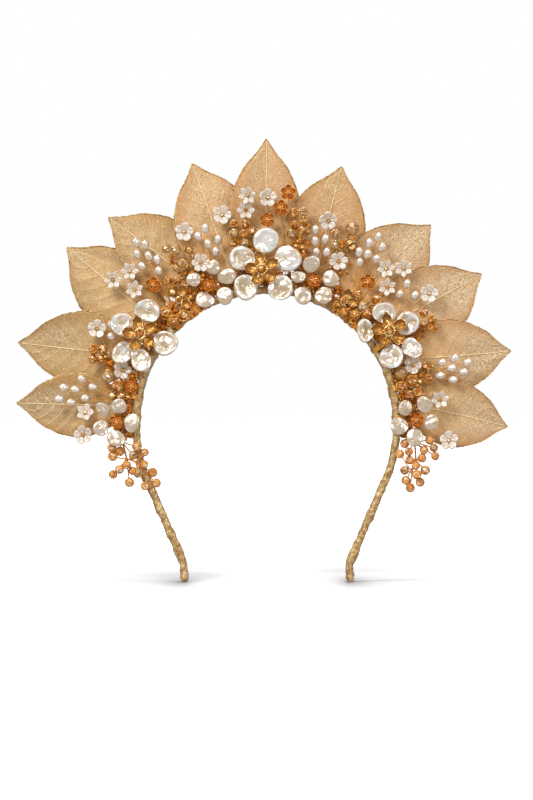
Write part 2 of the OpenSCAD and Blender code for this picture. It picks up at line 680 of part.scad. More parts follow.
module stems_left_low() {
    color("#b5792f") union() {
        bundle(-bundle_half, -66);
        binding(-89);
        binding(-80);
        flower_wires(5);
        shell_wires(SHELLS_LEFT, 6, 8);
        bead_flower_wire(5);
        spray_wires(STONES_LEFT_LOW, amber_d, true);
        spray_wires([RICE_LEFT_LOW[0]], rice_l, false);
        drop_wires(TWIGS_LEFT, DROPS_LEFT, -1);
    }
}

module stems_right() {
    color("#b5792f") union() {
        bundle(30, 65);
        binding(42);
        binding(57);
        flower_wires(2);
        shell_wires(SHELLS_RIGHT, 0, 3);
        bead_flower_wire(4);
        spray_wires([STONES_RIGHT[1], STONES_RIGHT[2], STONES_RIGHT_LOW[0]], amber_d, true);
        spray_wires([RICE_RIGHT[1], RICE_RIGHT[2]], rice_l, false);
    }
}

module stems_right_low() {
    color("#b5792f") union() {
        bundle(66, bundle_half);
        binding(76);
        binding(89);
        flower_wires(6);
        shell_wires(SHELLS_RIGHT, 4, 6);
        spray_wires([STONES_RIGHT_LOW[1]], amber_d, true);
        spray_wires(RICE_RIGHT_LOW, rice_l, false);
        drop_wires(TWIGS_RIGHT, DROPS_RIGHT, 1);
    }
}

module framed() {
    translate([side_shift, depth_shift, 0]) children();
}

framed() band();
framed() wound_tip(-1);  // tip_left
framed() wound_tip(1);  // tip_right
for (i = [0:10]) {
    framed() leaf(i);
}
for (f = [0:2]) {
    for (i = [0:4]) {
        framed() petal(f, i);
    }
    framed() metal_heart(f);
}
for (s = [0:3]) {
    framed() small_flower(s);
    framed() small_heart(s);
}
framed() shell_flowers(SHELLS_LEFT);  // shell_flowers_left
framed() shell_flowers(SHELLS_CENTRE);  // shell_flowers_centre
framed() shell_flowers(SHELLS_RIGHT);  // shell_flowers_right
framed() rice_pearls(RICE_LEFT);  // rice_pearls_left
framed() rice_pearls(RICE_RIGHT);  // rice_pearls_right
framed() rice_pearls(RICE_LEFT_LOW);  // rice_pearls_left_low
framed() rice_pearls(RICE_RIGHT_LOW);  // rice_pearls_right_low
framed() bead_flowers();
framed() stones(STONES_CENTRE);  // stones_centre
framed() stones(STONES_LEFT);  // stones_left
framed() stones(STONES_RIGHT);  // stones_right
framed() stones(STONES_LEFT_LOW);  // stones_left_low
framed() stones(STONES_RIGHT_LOW);  // stones_right_low
framed() drops(TWIGS_LEFT, DROPS_LEFT);  // drops_left
framed() drops(TWIGS_RIGHT, DROPS_RIGHT);  // drops_right
framed() stems_left();
framed() stems_centre();
framed() stems_right();
framed() stems_left_low();
framed() stems_right_low();
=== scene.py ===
"""The looks of a bridal crown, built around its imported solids.

Gilded skeleton leaves, baroque pearl flowers, carved shell flowers, rice pearls and cut stones stand on wires
round a tape-wound band. Everything is worked out in millimetres in the crown's own layout, then placed in the
row frame.
"""

import logging
import math
import random
from dataclasses import dataclass, field, replace
from enum import Enum
from functools import cache
from typing import Callable, Iterator, Sequence

import bmesh
import bpy
from mathutils import Matrix, Vector, noise


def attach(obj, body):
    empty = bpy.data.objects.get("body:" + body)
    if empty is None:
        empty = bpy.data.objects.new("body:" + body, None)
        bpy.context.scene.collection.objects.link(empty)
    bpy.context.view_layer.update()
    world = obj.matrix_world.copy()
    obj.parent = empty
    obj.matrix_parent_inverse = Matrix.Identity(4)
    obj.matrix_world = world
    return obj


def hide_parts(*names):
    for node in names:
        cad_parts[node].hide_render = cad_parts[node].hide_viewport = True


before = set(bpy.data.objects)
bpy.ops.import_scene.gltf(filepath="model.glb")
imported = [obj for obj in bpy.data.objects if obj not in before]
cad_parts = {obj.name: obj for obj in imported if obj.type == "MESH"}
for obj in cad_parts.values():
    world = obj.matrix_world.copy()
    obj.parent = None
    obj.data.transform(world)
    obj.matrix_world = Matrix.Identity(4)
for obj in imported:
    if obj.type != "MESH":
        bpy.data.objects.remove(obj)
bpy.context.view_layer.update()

LOG = logging.getLogger("crown")
MM = 0.001
TAU = 2 * math.pi
BODY = "root"

# The shift from the crown's own layout to the row frame, in millimetres
SHIFT = Vector((1.33, 3.69, 0.0))

# Sizes that the pieces share, as the solids have them
ARCH_R = 65.0
ARCH_Z = 81.0
BAND_W = 3.4
BAND_D = 8.0
BUNDLE_R = 69.5
STEM_Y = -0.9
SHELL_BACK_Y = -3.1
RICE_Y = -4.3
BEAD_Y = -4.2
BEAD_BACK = 0.9
RISE = 6.5
AMBER_D = 3.6
DROP_D = 3.5
RICE_L = 5.4
RICE_D = 3.9
BIG_THICK = 3.4
SMALL_THICK = 2.8

# Angles are from straight up, plus to the right.
# roll says which edge laps forward: 1 the left one, -1 the right one, 0 neither.
# fold 1 brings both edges forward. shade says how far the gilding is deepened.
# columns: base angle, heading, length, widths left and right of the midrib, roll, fold, set back, shade
LEAVES = {
    "leaf_centre": [0, 0, 74, 18.9, 17.3, 1, 1, 0, 0.4],
    "leaf_left_1": [-13.1, -19.2, 67, 20, 21.5, 1, 1, 0, 0.38],
    "leaf_left_2": [-24.7, -51.9, 65.1, 15.8, 20.8, 1, 1, 0, 0.32],
    "leaf_left_3": [-48.1, -50.3, 65.4, 20.5, 19, 0, -1, 0.8, 0.05],
    "leaf_left_4": [-62.5, -83.3, 65.3, 18, 19.6, -1, 1, 0, 0.05],
    "leaf_left_5": [-84.5, -88, 58.6, 16, 16, -1, 1, 0, 0.15],
    "leaf_right_1": [20.3, 12.7, 65.8, 21.4, 19, 1, 1, 0.3, 0.5],
    "leaf_right_2": [33.7, 47.2, 61.5, 20, 20, 1, 1, 0, 0],
    "leaf_right_3": [50.4, 61.6, 63.8, 18.5, 21.5, 1, 1, 0, 0],
    "leaf_right_4": [63.4, 85.9, 62.5, 18.1, 19.5, 1, 1, 0, 0],
    "leaf_right_5": [83, 102.1, 55.5, 17.2, 16, 1, 1, 0, 0.05]
}

# Flowers, the three large ones first. columns: x, z, depth of the petals' middle
FLOWERS = [
    [-2.4, 156.3, -8.8],
    [-63.1, 124.1, -8.8],
    [61.3, 125.6, -8.8],
    [-28.8, 148.5, -7.6],
    [23.6, 150.8, -7.6],
    [-74.9, 79.8, -7.6],
    [74.9, 80.9, -7.6]
]
BIG_NAMES = ["centre", "left", "right"]
SMALL_NAMES = ["left_top", "right_top", "left_low", "right_low"]

# Petals, five for each flower above.
# columns: x and z from the flower's middle, length, width, lift towards the front, how far it is hollowed
# The last column also sets how much painted shade lies in a petal's hollows.
PETALS = [
    [[2, 14.3, 13.4, 12.8, 0, 0.15], [13.1, 5.2, 13.8, 12.8, 0, 0.3], [9.4, -9.3, 13, 12.6, 0, 1.0],
     [-7.8, -8.9, 13.2, 12.4, 0, 0.75], [-9.6, 5.4, 13.6, 12.4, 0, 0.7]],
    [[3.6, 11.3, 12.4, 12.6, 0, 0.5], [12.4, -4.7, 13.4, 12.4, 0, 0.9], [0.5, -13.2, 12, 10, 1.4, 0.8],
     [-8.9, -9.6, 11.4, 10.6, -0.6, 0.7], [-9, 4.6, 12, 12.2, 0, 0.6]],
    [[-2.4, 8.9, 11, 12, 0, 0.6], [9.1, 3.8, 12, 12, 0, 0.8], [11.2, -8.6, 11, 10, -0.8, 0.2],
     [1, -12.9, 12, 12.6, 1.2, 0.75], [-12, 0.1, 8.6, 12, 0, 0.8]],
    [[2.2, 8.7, 7, 7.6, 0, 0.5], [9.2, 4.2, 9.6, 8, 0, 0.9], [8, -5.4, 9, 8.8, 0, 0.6],
     [-2, -7.6, 8, 9.2, 0, 0.5], [-7.6, 2.6, 7.6, 6.8, 0, 0.4]],
    [[-1.3, 8, 8.6, 8.8, 0, 0.8], [8.4, 0.8, 8.8, 8, 0, 0.35], [5, -7.6, 9, 8.8, 0, 0.5],
     [-5.4, -7.6, 9, 8.8, 0, 0.8], [-7.6, 1.7, 8, 6.2, -0.7, 0.6]],
    [[1.2, 8, 8.2, 7.8, 0, 0.6], [7.6, -0.3, 8.2, 9.4, 0, 0.8], [-0.2, -8, 8.4, 9.4, 0, 0.7],
     [-7.8, -2.8, 8, 8.2, 0, 0.6], [-6.6, 6.4, 8.2, 6.6, 0, 0.4]],
    [[4.1, 7.8, 8, 8.6, 0, 0.6], [7.5, -1, 7.2, 8.4, 0, 0.4], [-0.9, -8.5, 9, 8.6, 0, 0.5],
     [-8.7, -2.9, 9, 9.2, 0, 0.5], [-5.6, 6, 7.6, 7.6, 0, 0.5]]
]

# Carved shell flowers.
# columns: x, z, lobes, 1 for a star or 0 for round, spin, tip towards x, tip towards z, lift to the front
SHELLS = {
    "left": [
        [-41.2, 175, 5, 0, 10, 0, 0, 0], [-32.8, 159.6, 6, 0, 0, 0, 0, 0], [-76.8, 151, 6, 1, 8, 0, 0, 0],
        [-68.4, 155.4, 6, 1, 0, 0, 0, 0.4], [-66, 146.2, 6, 1, 20, 0, 0, 0],
        [-84.8, 126.6, 5, 0, 12, 0, 0, 0], [-90.7, 84.4, 5, 1, 0, 0, -20, 0],
        [-91.8, 73.6, 5, 0, 30, 0, 0, 0], [-72.4, 106, 5, 0, 0, 15, 0, 0]
    ],
    "centre": [
        [-22.2, 183.5, 5, 0, 0, 0, 0, 0], [-9, 193.4, 6, 1, 10, -20, 10, 3.2],
        [-10.3, 185.8, 6, 1, 0, 0, 0, 0], [0.2, 192.2, 5, 0, 15, 20, 0, 0], [30.8, 181, 5, 0, 20, 0, 18, 0],
        [35.8, 160.4, 6, 0, 10, 10, 0, 0]
    ],
    "right": [
        [59.8, 156.6, 6, 1, 10, 0, 0, 0], [68.6, 156.8, 6, 1, 30, 0, 0, 0.4],
        [60.4, 147.4, 6, 1, 25, 0, 0, 0], [81.3, 144.2, 5, 0, 8, 0, 0, 0], [73.4, 108.4, 5, 0, 0, -15, 0, 0],
        [86.8, 91.2, 6, 1, 12, 0, 0, 0],
        [91.2, 70.6, 5, 0, 20, 0, -10, 0]
    ]
}

# Rice pearls, a spray to a row. columns: angle of the spray's root on the band, then its pearls' x and z
SPRAYS = {
    "left": [
        [-41, [[-65.2, 169.6], [-60.6, 168.6], [-64.6, 163.8], [-58.9, 162.9], [-54.6, 161], [-62.2, 157.8],
               [-53.8, 155.4]]],
        [-21, [[-34.2, 172.6], [-30.6, 176.6], [-29.4, 168.8], [-24.2, 171], [-25.4, 165]]]
    ],
    "right": [
        [20, [[24.4, 176], [24.2, 170.4], [29.4, 171.4], [24.8, 164.6], [30, 164.8]]],
        [37, [[51.2, 169.4], [55.8, 172.4], [57.8, 167.2], [50.6, 163.8], [46.2, 165], [46.6, 159.6],
              [54.9, 161.4]]],
        [56, [[70.2, 149], [66.6, 143.6], [74, 143.2]]]
    ],
    "left_low": [
        [-81, [[-92.2, 101.4], [-101.2, 97.2], [-95.4, 96.2], [-86.6, 97.4], [-103.6, 91.6], [-97.6, 89.8],
               [-90.4, 92]]],
        [-63, [[-77.4, 128.4], [-77.4, 122.6]]]
    ],
    "right_low": [
        [73, [[87.4, 109.8], [93.8, 112], [100.4, 109.8], [92.4, 107], [98.4, 105], [86.6, 103.2],
              [93.2, 101.2]]]
    ]
}

# Beaded copper flowers. columns: x, z, beads in the ring, angle of the wire's root, lift towards the front
BEAD_FLOWERS = [
    [10.8, 194.8, 5, 12, 0], [7.2, 187, 5, 8, 0], [0.4, 181, 6, 3, 0], [-56.6, 148.6, 5, -38, 0],
    [50.6, 150, 5, 30, 0], [-67.6, 98, 5, -74, 1.8]
]

# Cut stones, a cluster to a row. columns: angle of the root on the band, then each stone's x, z and lift
STONES = {
    "centre": [
        [14, [[13.6, 184.6, 0], [18.6, 185, 0], [14.2, 178.4, 0.9], [18.4, 180.8, 0.9], [12.4, 174, 1.6],
              [17.6, 175.6, 1.9]]],
        [-8, [[-16.3, 179, 0], [-10.6, 178.6, 0], [-16.4, 174.4, 0.9], [-11.4, 173.8, 0.9],
              [-6.6, 174.9, 0.4], [-10.8, 169.4, 1.8]]]
    ],
    "left": [
        [-33, [[-49, 150.6, 0], [-44.6, 150.4, 0.5]]],
        [-31, [[-47, 144.6, 0.4], [-43.6, 141, 1.6], [-39.8, 138.6, 1.6], [-38.6, 143, 0.6],
               [-41.8, 146.2, 1.8]]],
        [-43, [[-50.4, 134.2, 2.2], [-46.4, 130.4, 3.6], [-41.2, 132.8, 3.4]]],
        [-27, [[-50.2, 166.8, 0], [-45.4, 165.6, 0], [-38.8, 165.8, 0], [-42.8, 158.4, 0]]]
    ],
    "right": [
        [27, [[34.8, 174.2, 0], [34.4, 168.8, 0.4], [42.8, 176.6, 0], [42.8, 167.6, 0]]],
        [35, [[38.6, 140.4, 2], [41, 144.6, 1.4], [34.2, 139.8, 1.6], [37.8, 135.4, 3.4], [43.4, 140, 1.4]]],
        [42, [[46.2, 143.4, 1], [55.2, 140.6, 0], [48.4, 137.6, 0.6], [44.4, 133.6, 3.2],
              [50.4, 133.8, 2.4]]]
    ],
    "left_low": [
        [-72, [[-86.4, 116.4, 0], [-82.6, 111.8, 0.4], [-86.8, 111.6, 0], [-81.8, 116.2, 0.4]]],
        [-78, [[-79.4, 103, 0.2], [-74.4, 97.8, 0.8], [-72.4, 93, 0.4], [-77, 93.2, 0]]]
    ],
    "right_low": [
        [60, [[78.6, 134.4, 0], [82.8, 131, 0], [78.6, 128.6, 0.4], [83.2, 127, 0.4]]],
        [74, [[67.2, 104.4, 1.4], [72.6, 100.4, 0.8], [67.6, 97.6, 1.2], [76, 95, 0.4], [80.4, 106.8, 0],
              [80.8, 101.6, 0.2], [71.6, 93.4, 0.6]]]
    ]
}

# Champagne drops. Each hangs on a wire from one of the twigs below.
# twigs, columns: x, z, depth. The first starts at the end of the bundle, each next one at the one before.
TWIGS = {
    "left": [[-72.4, 70.4, -2.2], [-70, 61.6, -2.6], [-65.4, 60.2, -6.2]],
    "right": [[73.8, 70.4, -2.2], [74.6, 61.2, -2.6], [72.6, 55.2, -4.4]]
}
# drops, columns: x, z, depth, number of the twig
DROPS = {
    "left": [
        [-77.3, 67.1, -4, 0], [-76.9, 62.9, -4, 1], [-73.3, 65.3, -4, 0], [-64.8, 67.6, -6.2, 0],
        [-66.7, 63.4, -4.9, 0], [-60.9, 64.8, -4.9, 2], [-76.7, 53.8, -4, 1], [-73.4, 56.3, -5.8, 1],
        [-69.8, 58.5, -6.1, 1], [-66.8, 55.5, -4, 1], [-61.2, 58.8, -7.5, 2], [-64.2, 54.2, -8.1, 2],
        [-68.5, 49.8, -4, 1], [-60.8, 48, -5.3, 2], [-56.9, 54.8, -4, 2], [-55.1, 49.5, -4, 2]
    ],
    "right": [
        [69.1, 69.2, -4, 0], [66.7, 64, -5.2, 2], [71.2, 65.2, -4, 0], [81.6, 70.9, -4, 0],
        [83.7, 67.1, -4, 0], [78.8, 66, -5.5, 0], [84.4, 62.9, -4, 0], [71.6, 61, -4, 1], [77.7, 62, -4, 1],
        [74.6, 58.2, -5.9, 1], [75.1, 53.7, -6.5, 2], [69, 55.8, -4, 2], [79.4, 55.9, -4, 1],
        [69.7, 50.8, -4, 1], [71.9, 47.1, -4, 2], [76.8, 49.9, -4, 2]
    ]
}


def srgb(red: int, green: int, blue: int) -> tuple[float, float, float, float]:
    """Turn a colour as a screen shows it into the linear values that a shader takes.

    Args:
        red: Its red, from 0 to 255.
        green: Its green.
        blue: Its blue.

    Returns:
        The linear colour, opaque.
    """
    def linear(value: int) -> float:
        """One channel, made linear."""
        share = value / 255
        return share / 12.92 if share <= 0.04045 else ((share + 0.055) / 1.055) ** 2.4

    return (linear(red), linear(green), linear(blue), 1.0)


def mix(a: float, b: float, t: float) -> float:
    """The value a share t of the way from a to b."""
    return a + (b - a) * t


def ease(low: float, high: float, x: float) -> float:
    """A smooth step from 0 at low to 1 at high."""
    t = min(max((x - low) / (high - low), 0.0), 1.0)
    return t * t * (3 - 2 * t)


def spread(x: float, stops: Sequence[Sequence[float]], column: int = 1) -> float:
    """Read a value off a smooth line through stops.

    Args:
        x: Where it is read.
        stops: Rows in rising order, each a place and the values there.
        column: Which of the values is read.

    Returns:
        The value.
    """
    for low, high in zip(stops, stops[1:]):
        if x <= high[0]:
            return mix(low[column], high[column], ease(low[0], high[0], x))
    return stops[-1][column]


def polar(angle: float, radius: float, z: float = 0.0) -> Vector:
    """The point at an angle in radians and a distance round the z axis."""
    return Vector((radius * math.cos(angle), radius * math.sin(angle), z))


def drift(angle: float, scale: float, seed: float) -> float:
    """A value that wanders round a ring and closes on itself."""
    return noise.noise(polar(angle, scale, seed))


def on_arch(angle: float, radius: float, y: float) -> Vector:
    """The place at an angle in degrees from the top, a radius round the arch's centre and a depth."""
    a = math.radians(angle)
    return Vector((radius * math.sin(a), y, ARCH_Z + radius * math.cos(a)))


def on_bundle(angle: float) -> Vector:
    """The place on the wire bundle at an angle from the top."""
    return on_arch(angle, BUNDLE_R, STEM_Y)


def under(x: float, z: float) -> Vector:
    """The place on the wire bundle that is nearest to a flower's middle."""
    return on_bundle(math.degrees(math.atan2(x, z - ARCH_Z)))


def elbow(root: Vector, bead: Vector) -> Vector:
    """Where the wire to a bead leaves the layer of the stems and rises to the bead.

    Args:
        root: Where the wire leaves the bundle.
        bead: The bead's middle.

    Returns:
        The place of the bend.
    """
    way = Vector((bead.x - root.x, 0.0, bead.z - root.z))
    run = min(RISE, 0.6 * way.length)
    place = bead - way.normalized() * run
    return Vector((place.x, STEM_Y, place.z))


def aim(place: Vector, direction: Vector, spin: float = 0.0) -> Matrix:
    """A matrix that puts a part at a place with its z axis along a direction, after a turn round z."""
    turn = direction.to_track_quat("Z", "Y").to_matrix().to_4x4()
    return Matrix.Translation(place) @ turn @ Matrix.Rotation(spin, 4, "Z")


def facing(place: Sequence[float], turn: float = 0.0) -> Matrix:
    """A matrix that puts a part at a place with its z axis towards the front, after a turn round z."""
    return Matrix.Translation(place) @ Matrix.Rotation(math.pi / 2, 4, "X") @ Matrix.Rotation(turn, 4, "Z")


def tilt(spin: float, lean: float) -> Matrix:
    """A turn that brings the z axis to the front and leans it, then spins it round the upright."""
    return Matrix.Rotation(spin, 4, "Z") @ Matrix.Rotation(math.pi / 2 + lean, 4, "X")


def put(place: Vector, size: float, turn: Matrix = Matrix.Identity(4)) -> Matrix:
    """A matrix that puts a part at a place, at a size and after a turn."""
    return Matrix.Translation(place) @ turn @ Matrix.Scale(size, 4)


# Forms

Part = bmesh.types.BMesh


def open_part() -> tuple[Part, object, object]:
    """A new bmesh with the two layers that guide its making: the turn round a ring and the run along it."""
    bm = bmesh.new()
    return bm, bm.verts.layers.float.new("turn"), bm.verts.layers.float.new("run")


def next_ring(bm: Part, edges: list) -> tuple[list, list]:
    """Extrude a ring of edges in place.

    Args:
        bm: The part.
        edges: The ring's edges.

    Returns:
        The new ring's vertices and its edges.
    """
    made = bmesh.ops.extrude_edge_only(bm, edges=edges)["geom"]
    verts = [g for g in made if isinstance(g, bmesh.types.BMVert)]
    fresh = set(verts)
    rim = [g for g in made if isinstance(g, bmesh.types.BMEdge) and fresh.issuperset(g.verts)]
    return verts, rim


def ring_form(segments: int, levels: int, shape: Callable[[float, float], Vector]) -> Part:
    """Build a closed form from pole to pole, ring by ring.

    Args:
        segments: Points in a ring.
        levels: Rings between the two poles, plus one.
        shape: Gives the point at an angle in radians and a level from 0 to 1.

    Returns:
        The closed part.
    """
    bm, turn, run = open_part()
    made = bmesh.ops.create_circle(bm, cap_ends=True, cap_tris=True, segments=segments, radius=1.0)["verts"]
    ring = []
    for v in made:
        if v.co.length < 0.5:
            v.co = shape(0.0, 0.0)
        else:
            v[turn] = math.atan2(v.co.y, v.co.x) % TAU
            ring.append(v)
    edges = [e for e in bm.edges if e.is_boundary]
    for level in range(1, levels + 1):
        k = level / levels
        if level > 1:
            ring, edges = next_ring(bm, edges)
        for v in ring:
            v.co = shape(v[turn], k)
            v[run] = k
    bmesh.ops.pointmerge(bm, verts=ring, merge_co=shape(0.0, 1.0))
    bmesh.ops.recalc_face_normals(bm, faces=bm.faces[:])
    return bm


def tube(sides: int, levels: int, shape: Callable[[float, int], Vector]) -> Part:
    """Build a closed tube, ring by ring.

    Args:
        sides: Points in a ring.
        levels: Rings after the first.
        shape: Gives the point at an angle in radians on a ring's number.

    Returns:
        The tube, with both ends closed.
    """
    bm, turn, run = open_part()
    ring = bmesh.ops.create_circle(bm, cap_ends=True, segments=sides, radius=1.0)["verts"]
    for v in ring:
        v[turn] = math.atan2(v.co.y, v.co.x)
    edges = bm.edges[:]
    for level in range(levels + 1):
        if level:
            ring, edges = next_ring(bm, edges)
        for v in ring:
            v.co = shape(v[turn], level)
            v[run] = level / levels
    bmesh.ops.edgeloop_fill(bm, edges=edges)
    bmesh.ops.recalc_face_normals(bm, faces=bm.faces[:])
    return bm


def frames_along(path: Sequence[Vector]) -> Iterator[tuple[Vector, Vector, Vector]]:
    """Carry two square directions along a path, turned as little as can be on the way.

    Args:
        path: The points that are followed.

    Returns:
        Each point with its two directions.
    """
    side = None
    for i, p in enumerate(path):
        way = (path[min(i + 1, len(path) - 1)] - path[max(i - 1, 0)]).normalized()
        if side is None:
            side = way.orthogonal().normalized()
        side = (side - way * side.dot(way)).normalized()
        yield p, side, way.cross(side)


def sweep(path: Sequence[Vector], radius: Callable[[float], float], sides: int = 6) -> Part:
    """Draw a round wire along a path, with both ends closed.

    Args:
        path: The points that it follows.
        radius: Its radius at a share of its length from 0 to 1.
        sides: Flats round the wire.

    Returns:
        The closed wire.
    """
    frames = list(frames_along(path))
    last = len(path) - 1

    def shape(a: float, level: int) -> Vector:
        """The point at an angle on the wire's skin."""
        p, side, up = frames[level]
        return p + (side * math.cos(a) + up * math.sin(a)) * radius(level / last)

    return tube(sides, last, shape)


def mark(bm: Part, layer: str, value: Callable[[float, float], float]) -> Part:
    """Write a value on each point of a form, for its finish to read.

    Args:
        bm: A ring form or a tube.
        layer: The name that the value has in the finish.
        value: Gives it at an angle in radians and a share of the way along.

    Returns:
        The same form.
    """
    marked = bm.verts.layers.float.new(layer)
    turn, run = bm.verts.layers.float["turn"], bm.verts.layers.float["run"]
    for v in bm.verts:
        v[marked] = value(v[turn], v[run])
    return bm


def ball(u: int, v: int, size: Sequence[float] = (1.0, 1.0, 1.0)) -> Part:
    """A ball, stretched from a radius of 1 by a size on each axis.

    Args:
        u: Faces round it.
        v: Rings of faces from pole to pole.
        size: Its radius on each axis.

    Returns:
        The ball.
    """
    bm, _, _ = open_part()
    made = bmesh.ops.create_uvsphere(bm, u_segments=u, v_segments=v, radius=1.0)["verts"]
    bmesh.ops.scale(bm, vec=Vector(size), verts=made)
    return bm


def loop(radius: float, wire: float, around: int = 14, sides: int = 5) -> Part:
    """A closed ring of wire round the z axis, spun from a small circle.

    Args:
        radius: The ring's radius, to the wire's middle.
        wire: The wire's own radius.
        around: Steps round the ring.
        sides: Flats round the wire.

    Returns:
        The ring.
    """
    bm, _, _ = open_part()
    made = bmesh.ops.create_circle(bm, segments=sides, radius=wire)["verts"]
    bmesh.ops.rotate(bm, verts=made, cent=(0, 0, 0), matrix=Matrix.Rotation(math.pi / 2, 3, "X"))
    bmesh.ops.translate(bm, verts=made, vec=(radius, 0, 0))
    bmesh.ops.spin(bm, geom=bm.verts[:] + bm.edges[:], cent=(0, 0, 0), axis=(0, 0, 1), angle=TAU,
                   steps=around, use_merge=True, use_normal_flip=False, use_duplicate=False)
    bmesh.ops.remove_doubles(bm, verts=bm.verts[:], dist=wire * 0.01)
    bmesh.ops.recalc_face_normals(bm, faces=bm.faces[:])
    return bm


def as_mesh(part: Part, name: str = "template") -> bpy.types.Mesh:
    """Turn a part into a mesh.

    Args:
        part: The part, which is used up.
        name: The mesh's name.

    Returns:
        The mesh.
    """
    mesh = bpy.data.meshes.new(name)
    part.to_mesh(mesh)
    part.free()
    return mesh


def show(name: str, data: bpy.types.ID) -> bpy.types.Object:
    """Make an object and put it in the scene.

    Args:
        name: Its name.
        data: Its mesh, its light or its camera.

    Returns:
        The object.
    """
    made = bpy.data.objects.new(name, data)
    bpy.context.scene.collection.objects.link(made)
    return made


class Piece:
    """One piece of the crown, gathered from parts and handed to the frame when it is whole."""

    def __init__(self, name: str) -> None:
        """Start an empty piece with the layers that the finishes read."""
        self.name = name
        self.finishes: list[Finish] = []
        self.bm = bmesh.new()
        # The finishes paint shade into the marked hollows, and on the leaves towards the marked edges.
        for layer in ("turn", "run", "tint", "lap", "hollow_shade"):
            self.bm.verts.layers.float.new(layer)

    def add(self, part: Part | bpy.types.Mesh, finish: "Finish", place: Matrix | None = None,
            tint: float = 0.5, smooth: bool = True) -> None:
        """Put a part into the piece.

        Args:
            part: A bmesh, which is used up, or a mesh to copy.
            finish: The finish it wears.
            place: Where it goes, in millimetres in the crown's own layout.
            tint: A shade between 0 and 1 for finishes that vary from bead to bead.
            smooth: Whether its faces are shaded round.
        """
        mesh = as_mesh(part) if isinstance(part, Part) else part.copy()
        if place is not None:
            mesh.transform(place)
        if finish not in self.finishes:
            self.finishes.append(finish)
        count = len(mesh.polygons)
        mesh.polygons.foreach_set("material_index", [self.finishes.index(finish)] * count)
        mesh.polygons.foreach_set("use_smooth", [smooth] * count)
        shade = mesh.attributes.get("tint") or mesh.attributes.new("tint", "FLOAT", "POINT")
        shade.data.foreach_set("value", [tint] * len(mesh.vertices))
        self.bm.from_mesh(mesh)
        bpy.data.meshes.remove(mesh)

    def bead(self, finish: "Finish", place: Matrix, size: float | Sequence[float], tint: float,
             smooth: bool = True, u: int = 8, v: int = 6) -> None:
        """Put a small ball into the piece, with one radius or one for each axis, and u by v faces."""
        axes = (size,) * 3 if isinstance(size, float) else size
        self.add(ball(u, v, axes), finish, place, tint, smooth)

    def place(self, slot: str, *nodes: str) -> None:
        """Make the object, in metres in the row frame, and hand it to the frame.

        Args:
            slot: The record's material slot; not used.
            nodes: The solids that it stands for.
        """
        mesh = as_mesh(self.bm, self.name)
        mesh.transform(Matrix.Scale(MM, 4) @ Matrix.Translation(SHIFT))
        for finish in self.finishes:
            mesh.materials.append(finish.material())
        piece = show(self.name, mesh)
        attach(piece, BODY)
        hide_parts(*nodes)
        LOG.info("%s: %d faces for %s", self.name, len(mesh.polygons), ", ".join(nodes))


# Finishes

GREY = (0.5, 0.5, 0.5, 1.0)
COLOUR, VALUE, DIRECTION = "NodeSocketColor", "NodeSocketFloat", "NodeSocketVector"

# What an input takes: another node's socket, a number or a colour
Value = bpy.types.NodeSocket | float | tuple


